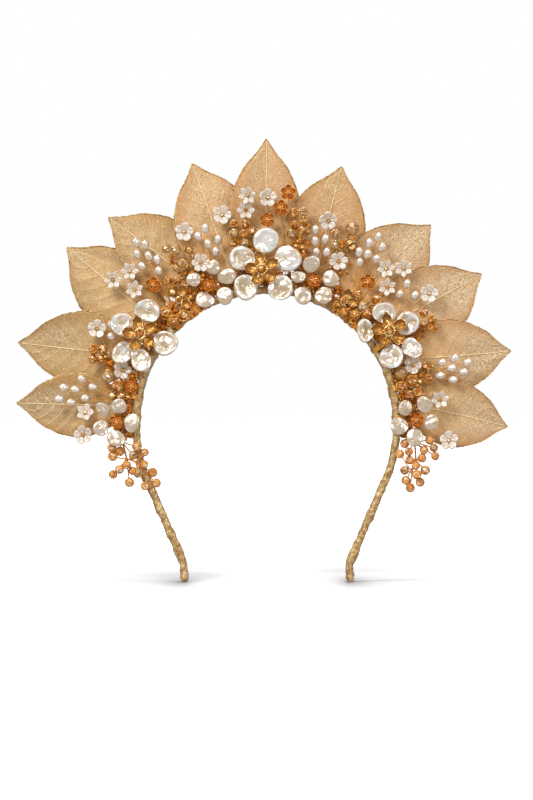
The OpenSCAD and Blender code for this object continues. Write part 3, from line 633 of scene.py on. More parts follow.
class Sheet:
    """A node tree while it is being wired."""

    def __init__(self, tree: bpy.types.NodeTree) -> None:
        """Take up a tree."""
        self.tree = tree

    def add(self, kind: str, settings: dict | None = None, **inputs: Value) -> bpy.types.Node:
        """Add a node.

        Args:
            kind: The node's type, without the ShaderNode at its front.
            settings: Properties of the node itself.
            inputs: Values or sockets for its inputs, with spaces written as underscores.

        Returns:
            The node.
        """
        node = self.tree.nodes.new("ShaderNode" + kind)
        for key, value in (settings or {}).items():
            setattr(node, key, value)
        for key, value in inputs.items():
            self.feed(node.inputs[key.replace("_", " ")], value)
        return node

    def feed(self, socket: bpy.types.NodeSocket, value: Value) -> None:
        """Link a socket, or set its value.

        Args:
            socket: The input socket.
            value: An output socket to link, or a plain value.
        """
        if isinstance(value, bpy.types.NodeSocket):
            self.tree.links.new(value, socket)
        else:
            socket.default_value = value

    def layer(self, name: str) -> bpy.types.NodeSocket:
        """A value that the mesh carries on each point."""
        return self.add("Attribute", {"attribute_name": name}).outputs["Fac"]

    def at(self) -> bpy.types.NodeSocket:
        """The place on the piece."""
        return self.add("TexCoord").outputs["Object"]

    def cloud(self, scale: Value, detail: float, distortion: float = 0.0) -> bpy.types.NodeSocket:
        """A value that drifts over the piece."""
        return self.add("TexNoise", Vector=self.at(), Scale=scale, Detail=detail,
                        Distortion=distortion).outputs[0]

    def blend(self, share: Value, a: Value, b: Value) -> bpy.types.NodeSocket:
        """Mix two colours.

        Args:
            share: How much of the second colour there is.
            a: The first colour.
            b: The second colour.

        Returns:
            The mixed colour.
        """
        node = self.add("Mix", {"data_type": "RGBA"})
        for index, value in ((0, share), (6, a), (7, b)):
            self.feed(node.inputs[index], value)
        return node.outputs[2]

    def maths(self, how: str, a: Value, b: Value = 0.0) -> bpy.types.NodeSocket:
        """Work a value out of two others.

        Args:
            how: The sum, by its name in Blender.
            a: The first value.
            b: The second value.

        Returns:
            The sum's value.
        """
        node = self.add("Math", {"operation": how})
        for index, value in enumerate((a, b)):
            self.feed(node.inputs[index], value)
        return node.outputs[0]

    def times(self, a: Value, b: Value) -> bpy.types.NodeSocket:
        """One value times another."""
        return self.maths("MULTIPLY", a, b)

    def plus(self, a: Value, b: Value) -> bpy.types.NodeSocket:
        """One value and another."""
        return self.maths("ADD", a, b)

    def span(self, value: Value, low: float, high: float, to_low: float = 0.0,
             to_high: float = 1.0) -> bpy.types.NodeSocket:
        """A value whose range from low to high is stretched smoothly over another."""
        return self.add("MapRange", {"interpolation_type": "SMOOTHSTEP"}, Value=value, From_Min=low,
                        From_Max=high, To_Min=to_low, To_Max=to_high).outputs[0]

    def length(self, vector: Value) -> bpy.types.NodeSocket:
        """How long a vector is."""
        return self.add("VectorMath", {"operation": "LENGTH"}, Vector=vector).outputs["Value"]

    def bump(self, height: Value, strength: Value, depth: Value) -> bpy.types.NodeSocket:
        """The normal over a height."""
        return self.add("Bump", Height=height, Strength=strength, Distance=depth).outputs[0]

    def group(self, tree: bpy.types.NodeTree, **inputs: Value) -> bpy.types.Node:
        """A shared effect, placed with its own values."""
        return self.add("Group", {"node_tree": tree}, **inputs)


def open_group(name: str, inputs: dict[str, object], outputs: dict[str, str]) -> tuple[Sheet, dict, dict]:
    """Start a node group, with its sockets.

    Args:
        name: The group's name.
        inputs: Each input's name and default, a number or a colour.
        outputs: Each output's name and socket type.

    Returns:
        The sheet, what the group is given and what it puts out.
    """
    tree = bpy.data.node_groups.new(name, "ShaderNodeTree")
    for key, value in inputs.items():
        kind = COLOUR if isinstance(value, tuple) else VALUE
        tree.interface.new_socket(key, in_out="INPUT", socket_type=kind).default_value = value
    for key, kind in outputs.items():
        tree.interface.new_socket(key, in_out="OUTPUT", socket_type=kind)
    return Sheet(tree), tree.nodes.new("NodeGroupInput").outputs, tree.nodes.new("NodeGroupOutput").inputs


@cache
def patina_group() -> bpy.types.NodeTree:
    """Two shades that trade places in clouds and fine specks, with the mask between them.

    Returns:
        The group, built once.
    """
    sheet, given, out = open_group("patina", {"Light": GREY, "Dark": GREY, "Cloud": 200.0, "Speck": 1500.0},
                                   {"Colour": COLOUR, "Mask": VALUE})
    cloud = sheet.cloud(given["Cloud"], 3.0)
    speck = sheet.cloud(given["Speck"], 2.0)
    mask = sheet.span(sheet.plus(sheet.times(cloud, 0.65), sheet.times(speck, 0.35)), 0.4, 0.6)
    sheet.feed(out["Colour"], sheet.blend(mask, given["Dark"], given["Light"]))
    sheet.feed(out["Mask"], mask)
    return sheet.tree


@cache
def relief_group() -> bpy.types.NodeTree:
    """A fine uneven skin, as a normal.

    Returns:
        The group, built once.
    """
    sheet, given, out = open_group("relief", {"Scale": 900.0, "Strength": 0.3, "Depth": 0.0002},
                                   {"Normal": DIRECTION})
    grain = sheet.cloud(given["Scale"], 4.0)
    sheet.feed(out["Normal"], sheet.bump(grain, given["Strength"], given["Depth"]))
    return sheet.tree


@cache
def lustre_group() -> bpy.types.NodeTree:
    """The drifting rose, cool and cream tints under a pearl's skin, with a mask of its cream parts.

    Returns:
        The group, built once.
    """
    shades = {"Body": GREY, "Cream": GREY, "Rose": GREY, "Cool": GREY, "Scale": 180.0, "Shade": 0.5}
    sheet, given, out = open_group("lustre", shades, {"Colour": COLOUR, "Mask": VALUE})
    broad = sheet.cloud(given["Scale"], 2.0, 1.2)
    narrow = sheet.cloud(sheet.times(given["Scale"], 1.7), 1.0, 2.0)
    cream = sheet.span(sheet.plus(broad, sheet.times(given["Shade"], 0.16)), 0.5, 0.68)
    colour = sheet.blend(cream, given["Body"], given["Cream"])
    colour = sheet.blend(sheet.span(narrow, 0.54, 0.66, 0.0, 0.8), colour, given["Rose"])
    colour = sheet.blend(sheet.span(narrow, 0.46, 0.36, 0.0, 0.8), colour, given["Cool"])
    sheet.feed(out["Colour"], colour)
    sheet.feed(out["Mask"], cream)
    return sheet.tree


@dataclass(frozen=True)
class Finish:
    """A metal or a plain finish: two shades, a gloss and a fine skin."""

    name: str
    light: tuple
    dark: tuple
    metallic: float = 1.0
    gloss: tuple = (0.25, 0.4)
    coat: float = 0.0
    cloud: float = 250.0
    speck: float = 1500.0
    skin: float = 900.0
    relief: float = 0.25
    depth: float = 0.0002
    # The stones paint their dark facets in it, and the leaves their warm glow at the stalk.
    # deep: the colour of the painted shade in hollows and at the outline; the gold's hollows also hold
    # patina.
    deep: tuple = (0.2, 0.08, 0.015, 1.0)
    # rim: how far the outline is darkened with painted shade.
    rim: float = 0.35
    shine: float = 0.5

    @cache
    def material(self) -> bpy.types.Material:
        """The finish's material, built on its first use.

        Returns:
            The material.
        """
        made = bpy.data.materials.new("look_" + self.name)
        made.use_nodes = True
        made.node_tree.nodes.clear()
        made.diffuse_color = self.light
        sheet = Sheet(made.node_tree)
        skin = sheet.add("BsdfPrincipled", Metallic=self.metallic, Coat_Weight=self.coat,
                         Specular_IOR_Level=self.shine)
        sheet.add("OutputMaterial", Surface=skin.outputs[0])
        colour, gloss, normal = self.dress(sheet, skin)
        for key, value in (("Base Color", colour), ("Roughness", gloss), ("Normal", normal)):
            sheet.feed(skin.inputs[key], value)
        return made

    def dress(self, sheet: Sheet, skin: bpy.types.Node) -> tuple:
        """Wire the finish up to the shader.

        Args:
            sheet: The material's tree.
            skin: Its shader; not used here.

        Returns:
            The colour, the roughness and the normal.
        """
        patina = self.patina(sheet)
        colour = sheet.blend(sheet.span(sheet.layer("tint"), 0.0, 1.0, 0.5, 0.0), patina["Colour"], self.dark)
        # Darker in the marked hollows: painted shade, which on the gold is also its patina.
        hollow_shade = sheet.layer("hollow_shade")
        colour = sheet.blend(sheet.times(hollow_shade, 0.9), colour, self.deep)
        gloss = sheet.plus(self.sheen(sheet, patina["Mask"]), sheet.times(hollow_shade, 0.2))
        # Darker at the outline: painted shade.
        return self.painted_edge_shade(sheet, colour, self.deep), gloss, self.normal(sheet)

    def patina(self, sheet: Sheet) -> dict:
        """The shared patina in this finish's two shades."""
        return sheet.group(patina_group(), Light=self.light, Dark=self.dark, Cloud=self.cloud,
                           Speck=self.speck).outputs

    def sheen(self, sheet: Sheet, mask: Value) -> bpy.types.NodeSocket:
        """The roughness, least where a mask is full."""
        return sheet.span(mask, 0.0, 1.0, self.gloss[1], self.gloss[0])

    def painted_edge_shade(self, sheet: Sheet, colour: Value, dark: tuple) -> bpy.types.NodeSocket:
        """The colour, darker where the surface turns away: a painted shade at the outline."""
        facing_away = sheet.add("LayerWeight", Blend=0.5).outputs["Facing"]
        return sheet.blend(sheet.span(facing_away, 0.45, 1.0, 0.0, self.rim), colour, dark)

    def normal(self, sheet: Sheet) -> bpy.types.NodeSocket:
        """The normal of the fine skin."""
        return sheet.group(relief_group(), Scale=self.skin, Strength=self.relief,
                           Depth=self.depth).outputs[0]


@dataclass(frozen=True)
class PearlFinish(Finish):
    """A nacre skin: a pale body with cream, rose and cool tints under a clear coat."""

    cream: tuple = (0.8, 0.7, 0.5, 1.0)
    rose: tuple = (0.9, 0.7, 0.7, 1.0)
    cool: tuple = (0.7, 0.8, 0.9, 1.0)

    def dress(self, sheet: Sheet, skin: bpy.types.Node) -> tuple:
        """Wire the drifting tints and the painted shade in, with a glossier skin over the pale parts.

        Args:
            sheet: The material's tree.
            skin: Its shader.

        Returns:
            The colour, the roughness and the normal.
        """
        lustre = sheet.group(lustre_group(), Body=self.light, Cream=self.cream, Rose=self.rose,
                             Cool=self.cool, Scale=self.cloud, Shade=sheet.layer("tint")).outputs
        # Painted shade, a darker beige, in the marked hollows.
        colour = sheet.blend(sheet.span(sheet.layer("hollow_shade"), 0.15, 0.95), lustre["Colour"], self.dark)
        gloss = sheet.span(lustre["Mask"], 0.0, 1.0, self.gloss[0], self.gloss[1])
        skin.inputs["Coat Roughness"].default_value = 0.08
        skin.inputs["Coat IOR"].default_value = 1.7
        # Painted shade at the outline.
        return self.painted_edge_shade(sheet, colour, self.dark), gloss, self.normal(sheet)


@dataclass(frozen=True)
class StoneFinish(Finish):
    """A cut stone: tinted glass with painted glints and painted dark facets, in a shade of each stone's own.
    """

    clear: float = 0.75
    # the colour of the painted glints
    painted_glint: tuple = (1.0, 0.85, 0.6, 1.0)
    facet: float = 900.0

    def dress(self, sheet: Sheet, skin: bpy.types.Node) -> tuple:
        """Wire the tint and the painted facets in and let light through.

        Args:
            sheet: The material's tree.
            skin: Its shader.

        Returns:
            The colour, the roughness and the normal.
        """
        patina = self.patina(sheet)
        colour = sheet.blend(sheet.layer("tint"), self.dark, patina["Colour"])
        cells = sheet.add("TexVoronoi", Vector=sheet.at(), Scale=self.facet).outputs["Color"]
        cell = sheet.add("SeparateColor", Color=cells).outputs[0]
        # Painted dark facets and painted glints in a fine pattern of cells.
        colour = sheet.blend(sheet.span(cell, 0.48, 0.16, 0.0, 0.8), colour, self.deep)
        colour = sheet.blend(sheet.span(cell, 0.8, 0.86, 0.0, 0.9), colour, self.painted_glint)
        skin.inputs["Transmission Weight"].default_value = self.clear
        skin.inputs["IOR"].default_value = 1.55
        # Painted shade at the outline.
        return self.painted_edge_shade(sheet, colour, self.deep), self.sheen(sheet, patina["Mask"]), self.normal(sheet)


@dataclass(frozen=True)
class LeafFinish(Finish):
    """A gilded skeleton leaf: a fine net of veins and grains of gold, with painted light and shade."""

    # The finish paints a warm glow at the stalk, shade towards the rim and glints on the gold.
    cell: float = 520.0
    blush: float = 45.0
    grit: float = 1900.0
    warm: tuple = (0.6, 0.4, 0.25, 1.0)
    # the colour of the painted glints
    painted_glint: tuple = (1.0, 0.9, 0.65, 1.0)

    def dress(self, sheet: Sheet, skin: bpy.types.Node) -> tuple:
        """Wire the warm drift, the net, and the painted stalk glow, edge shade and glints.

        Args:
            sheet: The material's tree.
            skin: Its shader; not used here.

        Returns:
            The colour, the roughness and the normal.
        """
        net = sheet.add("TexVoronoi", {"feature": "DISTANCE_TO_EDGE"}, Vector=sheet.at(), Scale=self.cell)
        thread = sheet.span(net.outputs["Distance"], 0.1, 0.0)
        warmth = sheet.span(sheet.cloud(self.blush, 3.0), 0.4, 0.62, 0.0, 0.6)
        colour = sheet.blend(warmth, self.patina(sheet)["Colour"], self.warm)
        colour = sheet.blend(sheet.times(thread, 0.4), colour, self.light)
        # Painted warm glow towards the stalk, where the flowers above shade the leaf.
        colour = sheet.blend(sheet.span(sheet.layer("run"), 0.72, 0.15, 0.0, 0.9), colour, self.deep)
        # Painted shade towards the edges, where the leaves overlap.
        colour = sheet.blend(sheet.span(sheet.layer("lap"), 0.45, 1.0, 0.0, 0.6), colour, self.dark)
        colour = sheet.blend(sheet.layer("tint"), colour, self.dark)
        # Painted glints on the grains of gold.
        painted_glints = sheet.span(sheet.cloud(self.grit, 1.0), 0.64, 0.74, 0.0, 0.8)
        colour = sheet.blend(painted_glints, colour, self.painted_glint)
        height = sheet.plus(sheet.times(thread, 0.5), sheet.cloud(self.skin, 3.0))
        return colour, self.sheen(sheet, thread), sheet.bump(height, self.relief, self.depth)


@dataclass(frozen=True)
class TapeFinish(Finish):
    """Wound tape: darker along each turn's edge, with creases across it and painted shade at its outline."""

    # the colour of the turns' edges, and of the painted shade at the outline
    seam_and_edge_shade: tuple = (0.2, 0.1, 0.03, 1.0)

    def dress(self, sheet: Sheet, skin: bpy.types.Node) -> tuple:
        """Wire the turns' edges, the painted outline shade and the creases.

        Args:
            sheet: The material's tree.
            skin: Its shader; not used here.

        Returns:
            The colour, the roughness and the normal.
        """
        lap = sheet.layer("lap")
        patina = self.patina(sheet)
        edge = sheet.maths("MAXIMUM", sheet.span(lap, 0.14, 0.0), sheet.span(lap, 0.93, 1.0))
        colour = sheet.blend(sheet.times(edge, 0.75), patina["Colour"], self.seam_and_edge_shade)
        creases = sheet.bump(sheet.cloud(self.skin, 5.0, 1.5), self.relief, self.depth)
        # Painted shade at the outline, in the seams' colour.
        return self.painted_edge_shade(sheet, colour, self.seam_and_edge_shade), self.sheen(sheet, patina["Mask"]), creases


# deep colours the painted shade below (on the leaves a painted warm glow), rim the painted outline shade.
TAPE = TapeFinish("gilt_tape", srgb(219, 191, 139), srgb(167, 128, 75), metallic=0.2, gloss=(0.42, 0.6),
                  cloud=420, speck=1100, skin=620, relief=0.8, depth=0.0008, seam_and_edge_shade=srgb(122, 82, 36),
                  rim=0.7, shine=0.3)
LEAF_GOLD = LeafFinish("gilt_leaf_gold", srgb(207, 188, 156), srgb(172, 130, 70), metallic=0.15,
                       gloss=(0.4, 0.6), cloud=1300, speck=2600, skin=1900, relief=0.3, depth=0.0003,
                       warm=srgb(200, 156, 100), deep=srgb(236, 192, 128), shine=0.25)
LEAF_BLUSH = replace(LEAF_GOLD, name="gilt_leaf_blush", light=srgb(226, 208, 176), dark=srgb(187, 138, 78),
                     warm=srgb(214, 172, 132), deep=srgb(246, 200, 136))
VEIN = Finish("gilt_vein", srgb(255, 244, 208), srgb(248, 220, 160), metallic=0.0, gloss=(0.3, 0.45),
              cloud=500)
LEAF_RIM = Finish("gilt_rim", srgb(255, 230, 170), srgb(146, 100, 46), metallic=0.3, gloss=(0.3, 0.5),
                  cloud=600, speck=900)
PEARL = PearlFinish("baroque_nacre", srgb(246, 246, 244), srgb(203, 180, 144), metallic=0.3,
                    gloss=(0.12, 0.2), coat=1.0, cloud=110, skin=220, relief=0.15, depth=0.0005,
                    cream=srgb(228, 212, 186), rose=srgb(240, 224, 218), cool=srgb(225, 235, 232),
                    rim=0.85, shine=0.8)
BLUSH = replace(PEARL, name="blush_nacre", light=srgb(208, 192, 171), dark=srgb(152, 112, 76), metallic=0.25,
                gloss=(0.1, 0.18), cloud=130, relief=0.1, depth=0.0004, cream=srgb(200, 176, 142),
                rose=srgb(212, 186, 172), cool=srgb(202, 192, 168))
RICE = replace(PEARL, name="rice_nacre", light=srgb(243, 234, 226), dark=srgb(172, 126, 94), metallic=0.4,
               gloss=(0.1, 0.18), cloud=160, skin=500, relief=0.1, depth=0.0003, cream=srgb(230, 216, 196),
               rose=srgb(232, 214, 202), cool=srgb(222, 222, 220), rim=0.9)
SHELL = PearlFinish("carved_shell", srgb(229, 217, 202), srgb(188, 158, 124), metallic=0.0,
                    gloss=(0.25, 0.38), coat=0.5, cloud=240, skin=900, relief=0.2, depth=0.0002,
                    cream=srgb(222, 204, 182), rose=srgb(227, 209, 193), cool=srgb(220, 214, 204), rim=0.55)
GOLD = Finish("antique_gold", srgb(252, 230, 166), srgb(192, 142, 70), metallic=0.85, gloss=(0.16, 0.34),
              cloud=350, speck=1300, skin=700, relief=0.35, depth=0.0003, deep=srgb(156, 102, 36), rim=0.6)
COPPER = Finish("copper_bead", srgb(236, 152, 40), srgb(202, 114, 22), metallic=0.0, gloss=(0.4, 0.55),
                coat=0.05, cloud=500, skin=900, relief=0.25, depth=0.0002, deep=srgb(140, 68, 8), rim=0.6,
                shine=0.2)
WIRE = Finish("craft_wire", srgb(240, 186, 94), srgb(208, 144, 58), metallic=0.3, gloss=(0.2, 0.38),
              cloud=400, speck=1600, deep=srgb(160, 100, 36), rim=0.3)
DROP_WIRE = Finish("copper_wire", srgb(238, 168, 78), srgb(214, 138, 54), metallic=0.0, gloss=(0.25, 0.4),
                   cloud=400, speck=1600, deep=srgb(170, 98, 34), rim=0.3, shine=0.3)
SILVER = Finish("silver_dot", srgb(252, 248, 240), srgb(206, 190, 168), gloss=(0.08, 0.2), cloud=600)
AMBER = StoneFinish("amber_stone", srgb(224, 146, 46), srgb(180, 100, 24), metallic=0.0, gloss=(0.02, 0.08),
                    cloud=300, relief=0.1, clear=0.15, deep=srgb(128, 66, 14), painted_glint=srgb(255, 222, 150),
                    rim=0.8, shine=0.3)
CHAMPAGNE = StoneFinish("champagne_drop", srgb(255, 210, 144), srgb(250, 182, 106), metallic=0.0,
                        gloss=(0.03, 0.1), cloud=300, relief=0.1, clear=0.15, deep=srgb(196, 110, 44),
                        painted_glint=srgb(255, 242, 218), rim=0.8, shine=0.3)
SPARK = StoneFinish("clear_stone", srgb(250, 216, 160), srgb(216, 162, 92), metallic=0.0, gloss=(0.01, 0.05),
                    clear=0.35, deep=srgb(150, 92, 36), painted_glint=srgb(255, 250, 236), rim=0.6)


# Leaves


class LeafTone(Enum):
    """The two shades of gilding on the leaves."""

    GOLD = LEAF_GOLD
    BLUSH = LEAF_BLUSH


@dataclass
class Leaf:
    """One gilded skeleton leaf: a thin cupped blade with raised veins and a rolled rim.

    The fields from angle to shade are the columns of LEAVES.
    """

    node: str
    tone: LeafTone
    bow: float
    seed: float
    angle: float
    heading: float
    length: float
    left: float
    right: float
    roll: float
    fold: float
    set_back: float
    shade: float
    thick: float = 0.26
    stalk: float = 1.2
    back: float = 5.0
    veins: int = 8
    vein_gap: float = 0.1
    vein_rise: float = 0.2
    vein_reach: float = 0.93
    midrib_lifts: tuple = (0.22, -0.36)
    vein_lifts: tuple = (0.1, -0.36)
    base: Vector = field(init=False)

    def __post_init__(self) -> None:
        """Place the leaf's base on the band."""
        swing = abs(math.sin(math.radians(self.heading - self.angle)))
        self.base = on_arch(self.angle, ARCH_R + BAND_W / 2 + 0.3 + self.stalk * swing, 1.8)

    def half(self, t: float, side: float) -> float:
        """The width from the midrib to the edge at a share of the length, where minus is the left side."""
        share = max(math.sin(math.pi * t ** 0.95), 0.0) ** 0.85 * (1 - 0.3 * ease(0.8, 0.97, t))
        return max((self.left if side < 0 else self.right) * share, self.stalk if t < 0.5 else 0.12)

    def point(self, t: float, s: float, lift: float = 0.0) -> Vector:
        """A point on the blade.

        Args:
            t: Share of the leaf's length.
            s: Share of its half width, minus to the left.
            lift: Height over the blade, towards the front.

        Returns:
            The point in millimetres.
        """
        h = math.radians(self.heading)
        out, side = Vector((math.sin(h), 0, math.cos(h))), Vector((math.cos(h), 0, -math.sin(h)))
        edge = self.half(t, s)
        ragged = 1 + 0.022 * noise.noise(Vector((t * 26, math.copysign(3, s), self.seed))) * abs(s)
        v = s * edge * ragged + self.bow * math.sin(math.pi * t) * (1 - abs(s))
        rib = t - self.vein_rise * abs(s) ** 1.15
        quilt = 0.08 * math.cos(TAU * (rib - 0.06) / self.vein_gap)
        quilt *= ease(0.02, 0.3, abs(s)) * ease(1.0, 0.8, abs(s))
        wave = 0.9 * noise.noise(Vector((t * 3.1, s * 1.3, self.seed)))
        wave += 0.25 * noise.noise(Vector((t * 11, s * 5, self.seed + 7)))
        front = 0.06 * self.fold * abs(v) - 0.11 * self.roll * v - self.back * t ** 1.3 - self.set_back
        front += (quilt + wave * ease(0.0, 0.25, t)) * min(edge / 8, 1.0) + lift
        return self.base + out * (t * self.length) + side * v - Vector((0, front, 0))

    def blade(self) -> Part:
        """The blade: a grid shaped to the leaf's outline and given its thickness.

        Returns:
            The closed blade.
        """
        bm = bmesh.new()
        run, lap = bm.verts.layers.float.new("run"), bm.verts.layers.float.new("lap")
        bmesh.ops.create_grid(bm, x_segments=30, y_segments=62, size=1.0)
        for v in bm.verts:
            s, t = v.co.x, (v.co.y + 1) / 2
            v[run], v[lap] = t, abs(s)
            v.co = self.point(t, s, -self.thick / 2)
        bmesh.ops.recalc_face_normals(bm, faces=bm.faces[:])
        bmesh.ops.solidify(bm, geom=bm.faces[:], thickness=self.thick)
        bmesh.ops.recalc_face_normals(bm, faces=bm.faces[:])
        return bm

    def vein(self, number: int, side: int, lift: float) -> list[Vector]:
        """The route of a side vein, from the midrib to near the edge.

        Args:
            number: Its number from the stalk.
            side: -1 on the left, 1 on the right.
            lift: Height over the blade.

        Returns:
            Ten points along it.
        """
        start = 0.07 + self.vein_gap * number + (0.03 if side > 0 else 0)
        shares = [(i / 9 + 0.002) * self.vein_reach for i in range(10)]
        return [self.point(start + self.vein_rise * share ** 1.15, side * share, lift) for share in shares]

    def build(self) -> None:
        """Build the leaf and hand it over."""
        piece = Piece("gilded_" + self.node)
        piece.add(self.blade(), self.tone.value, tint=self.shade)
        for lift in self.midrib_lifts:
            midrib = [self.point(i / 30 * 0.985, 0.0, lift) for i in range(31)]
            piece.add(sweep(midrib, lambda k: mix(0.55, 0.14, k ** 0.6), 8), VEIN, tint=1.0)
        for side in (-1, 1):
            for number in range(self.veins):
                for lift in self.vein_lifts:
                    piece.add(sweep(self.vein(number, side, lift), lambda k: mix(0.17, 0.05, k), 5), VEIN)
            rim = [self.point(i / 70, side, 0.0) for i in range(71)]
            grit = self.seed * 3 + side
            piece.add(sweep(rim, lambda k: 0.22 + 0.1 * noise.noise(Vector((k * 60, grit, 0))), 5), LEAF_RIM)
        piece.place("gilt_leaf", self.node)


class Leaves:
    """The halo of eleven leaves."""

    blush = ("leaf_centre", "leaf_left_1")

    def build(self) -> None:
        """Build each leaf from its row."""
        draw = random.Random(11)
        for i, (name, row) in enumerate(LEAVES.items()):
            tone = LeafTone.BLUSH if name in self.blush or name.startswith("leaf_right") else LeafTone.GOLD
            Leaf(name, tone, draw.uniform(-1.1, 1.1), i * 9.7, *row).build()


# Band


@dataclass
class Band:
    """The tape-wound band: an arch on two legs that lean in, with a wound end on each.

    knobs holds the lumps under the tape as x and z. tip_levels holds the rings of a wound end, columns: share
    of the way from the top to the sole, height, width of the ring as a share of the end's.
    """

    drop: float = 5.0
    lean: float = 23.6
    bend_r: float = 61.0
    tip_bend_r: float = 16.0
    tip_h: float = 6.0
    tip_w: float = 4.4
    tip_d: float = 10.0
    tip_set: float = 0.5
    overlap: float = 1.2
    step: float = 0.42
    sides: int = 26
    pitch: float = 5.2
    tip_pitch: float = 3.1
    knobs: tuple = ((-56.75, 111), (-62.75, 91), (-63.75, 78.5), (62.75, 94), (61.75, 103), (45.6, 14.5),
                    (43.4, 12), (-44.2, 14.5), (-46, 17.5), (-47.5, 24), (-52, 36), (54.5, 47), (52, 33))
    tip_levels: tuple = ((0.0, 6.7, 0.0), (0.06, 6.6, 0.66), (0.16, 6.0, 0.82), (0.34, 4.6, 0.95),
                         (0.68, 2.2, 0.97), (0.86, 0.6, 0.76), (0.95, 0.0, 0.56), (1.0, 0.0, 0.0))

    def __post_init__(self) -> None:
        """Work out the lean run and the tips' places."""
        a = math.radians(self.lean)
        both = self.bend_r + self.tip_bend_r
        self.run = (ARCH_Z - self.drop - self.tip_h - both * math.sin(a)) / math.cos(a)
        self.tip_x = ARCH_R - both * (1 - math.cos(a)) - self.run * math.sin(a)

    def half_path(self) -> list[tuple[Vector, Vector]]:
        """The right half from the top to the tip.

        Returns:
            Its points, each with the outward direction there.
        """
        lean = math.radians(self.lean)
        made = []

        def arc(middle: Vector, r: float, start: float, end: float, outward: float) -> None:
            """Add a bend round a middle, from one angle to another."""
            count = max(int(abs(end - start) * r / self.step), 2)
            for i in range(count):
                a = mix(start, end, i / count)
                way = Vector((math.cos(a), 0, math.sin(a)))
                made.append((middle + way * r, way * outward))

        def line(start: Vector, end: Vector, out: Vector) -> None:
            """Add a straight run."""
            count = max(int((end - start).length / self.step), 2)
            made.extend((start.lerp(end, i / count), out) for i in range(count))

        across, down = Vector((1, 0, 0)), Vector((0, 0, -1))
        arc(Vector((0, 0, ARCH_Z)), ARCH_R, math.pi / 2, 0, 1)
        side = Vector((ARCH_R, 0, ARCH_Z))
        line(side, side + down * self.drop, across)
        bend = Vector((ARCH_R - self.bend_r, 0, ARCH_Z - self.drop))
        arc(bend, self.bend_r, 0, -lean, 1)
        out = Vector((math.cos(lean), 0, -math.sin(lean)))
        low = bend + out * self.bend_r
        end = low - Vector((math.sin(lean), 0, math.cos(lean))) * self.run
        line(low, end, out)
        arc(end + out * self.tip_bend_r, self.tip_bend_r, math.pi - lean, math.pi, -1)
        tip = Vector((self.tip_x, 0, self.tip_h))
        line(tip, tip + down * self.overlap, across)
        return made

    @staticmethod
    def oval(depth: float, width: float, a: float) -> float:
        """How far a flat side moves the skin to the front or the back, at an angle round the band."""
        return math.copysign((depth - width) / 2, math.sin(a)) * min(abs(math.sin(a)) * 4, 1.0)

    def wrinkle(self, place: Vector, lap: float) -> float:
        """How far the tape stands out: a step at each turn, creases and knobs.

        Args:
            place: Where on the band.
            lap: Share of the way across the turn of tape.

        Returns:
            The height over the band.
        """
        grow = 0.26 * (1 - lap) ** 1.5 - 0.06
        grow += 0.34 * noise.noise(place * 0.3) + 0.14 * noise.noise(place * 0.9)
        for x, z in self.knobs:
            near = math.hypot(place.x - x, place.z - z)
            grow += 0.55 * math.exp(-(near / 2.4) ** 2)
        return grow

    def along(self, level: int) -> float:
        """How far along the band the tape is at a ring, with the winder's uneven pull."""
        way = level * self.step
        return way + 1.4 * noise.noise(Vector((way * 0.11, 0, 3)))

    def lap(self, a: float, level: int) -> float:
        """Share of the way across the turn of tape, at an angle on a ring."""
        return (self.along(level) / self.pitch + a / TAU) % 1.0

    def build(self) -> None:
        """Build the wound band and the two wound ends."""
        right = self.half_path()
        mirror = [(Vector((-p.x, 0, p.z)), Vector((-n.x, 0, n.z))) for p, n in right[1:]]
        path = mirror[::-1] + right
        last = len(path) - 1

        def shape(a: float, level: int) -> Vector:
            """The point at an angle on a ring of the tape."""
            p, out = path[level]
            along = self.along(level)
            crease = polar(a + along * 0.12, 1.5)
            fold = noise.noise(Vector((along * 0.16, crease.x, crease.y)))
            grow = self.wrinkle(p + Vector((math.cos(a), math.sin(a) * 3, 0)) * 1.5, self.lap(a, level))
            r = BAND_W / 2 + 0.2 + grow + 0.3 * (0.4 - abs(fold) * 2)
            y = self.oval(BAND_D, BAND_W, a) + r * math.sin(a)
            return p + out * (r * math.cos(a)) + Vector((0, y, 0))

        piece = Piece("wound_band")
        piece.add(mark(tube(self.sides, last, shape), "lap", lambda a, k: self.lap(a, round(k * last))), TAPE)
        piece.place("gilt_tape", "band")
        for side, node in ((-1, "tip_left"), (1, "tip_right")):
            self.tip(side, node)

    def tip(self, side: int, node: str) -> None:
        """Build one wound end, flat underneath.

        Args:
            side: -1 on the left, 1 on the right.
            node: The solid that it stands for.
        """
        def lap(a: float, k: float) -> float:
            """Share of the way across the turn of tape, at an angle on a level."""
            return (spread(k, self.tip_levels) / self.tip_pitch + a / TAU) % 1.0

        def shape(a: float, k: float) -> Vector:
            """The point at an angle on a level, from the top down."""
            z, w = spread(k, self.tip_levels), spread(k, self.tip_levels, 2)
            grow = 0.3 * (1 - lap(a, k)) ** 1.5 - 0.12 + 0.16 * noise.noise(Vector((a, z * 0.6, side)))
            r = self.tip_w / 2 + grow * ease(0, 0.8, w) * ease(0.0, 0.8, z)
            y = self.tip_set + self.oval(self.tip_d, self.tip_w, a) * min(w * 1.5, 1.0)
            middle = side * self.tip_x + 0.4 * ease(7.0, 3.0, z)
            return Vector((middle + r * w * math.cos(a), y + r * w * math.sin(a), z))

        piece = Piece("wound_" + node)
        piece.add(mark(ring_form(30, 40, shape), "lap", lap), TAPE)
        piece.place("gilt_tape", node)


# Flowers


class PetalKind(Enum):
    """The two kinds of baroque petal: thickness, sharpness of the rim, bowl, roughness, share of hollows."""

    BIG = (BIG_THICK, 5.0, 0.13, 1.0, 1.0)
    SMALL = (SMALL_THICK, 2.2, 0.0, 0.45, 0.3)


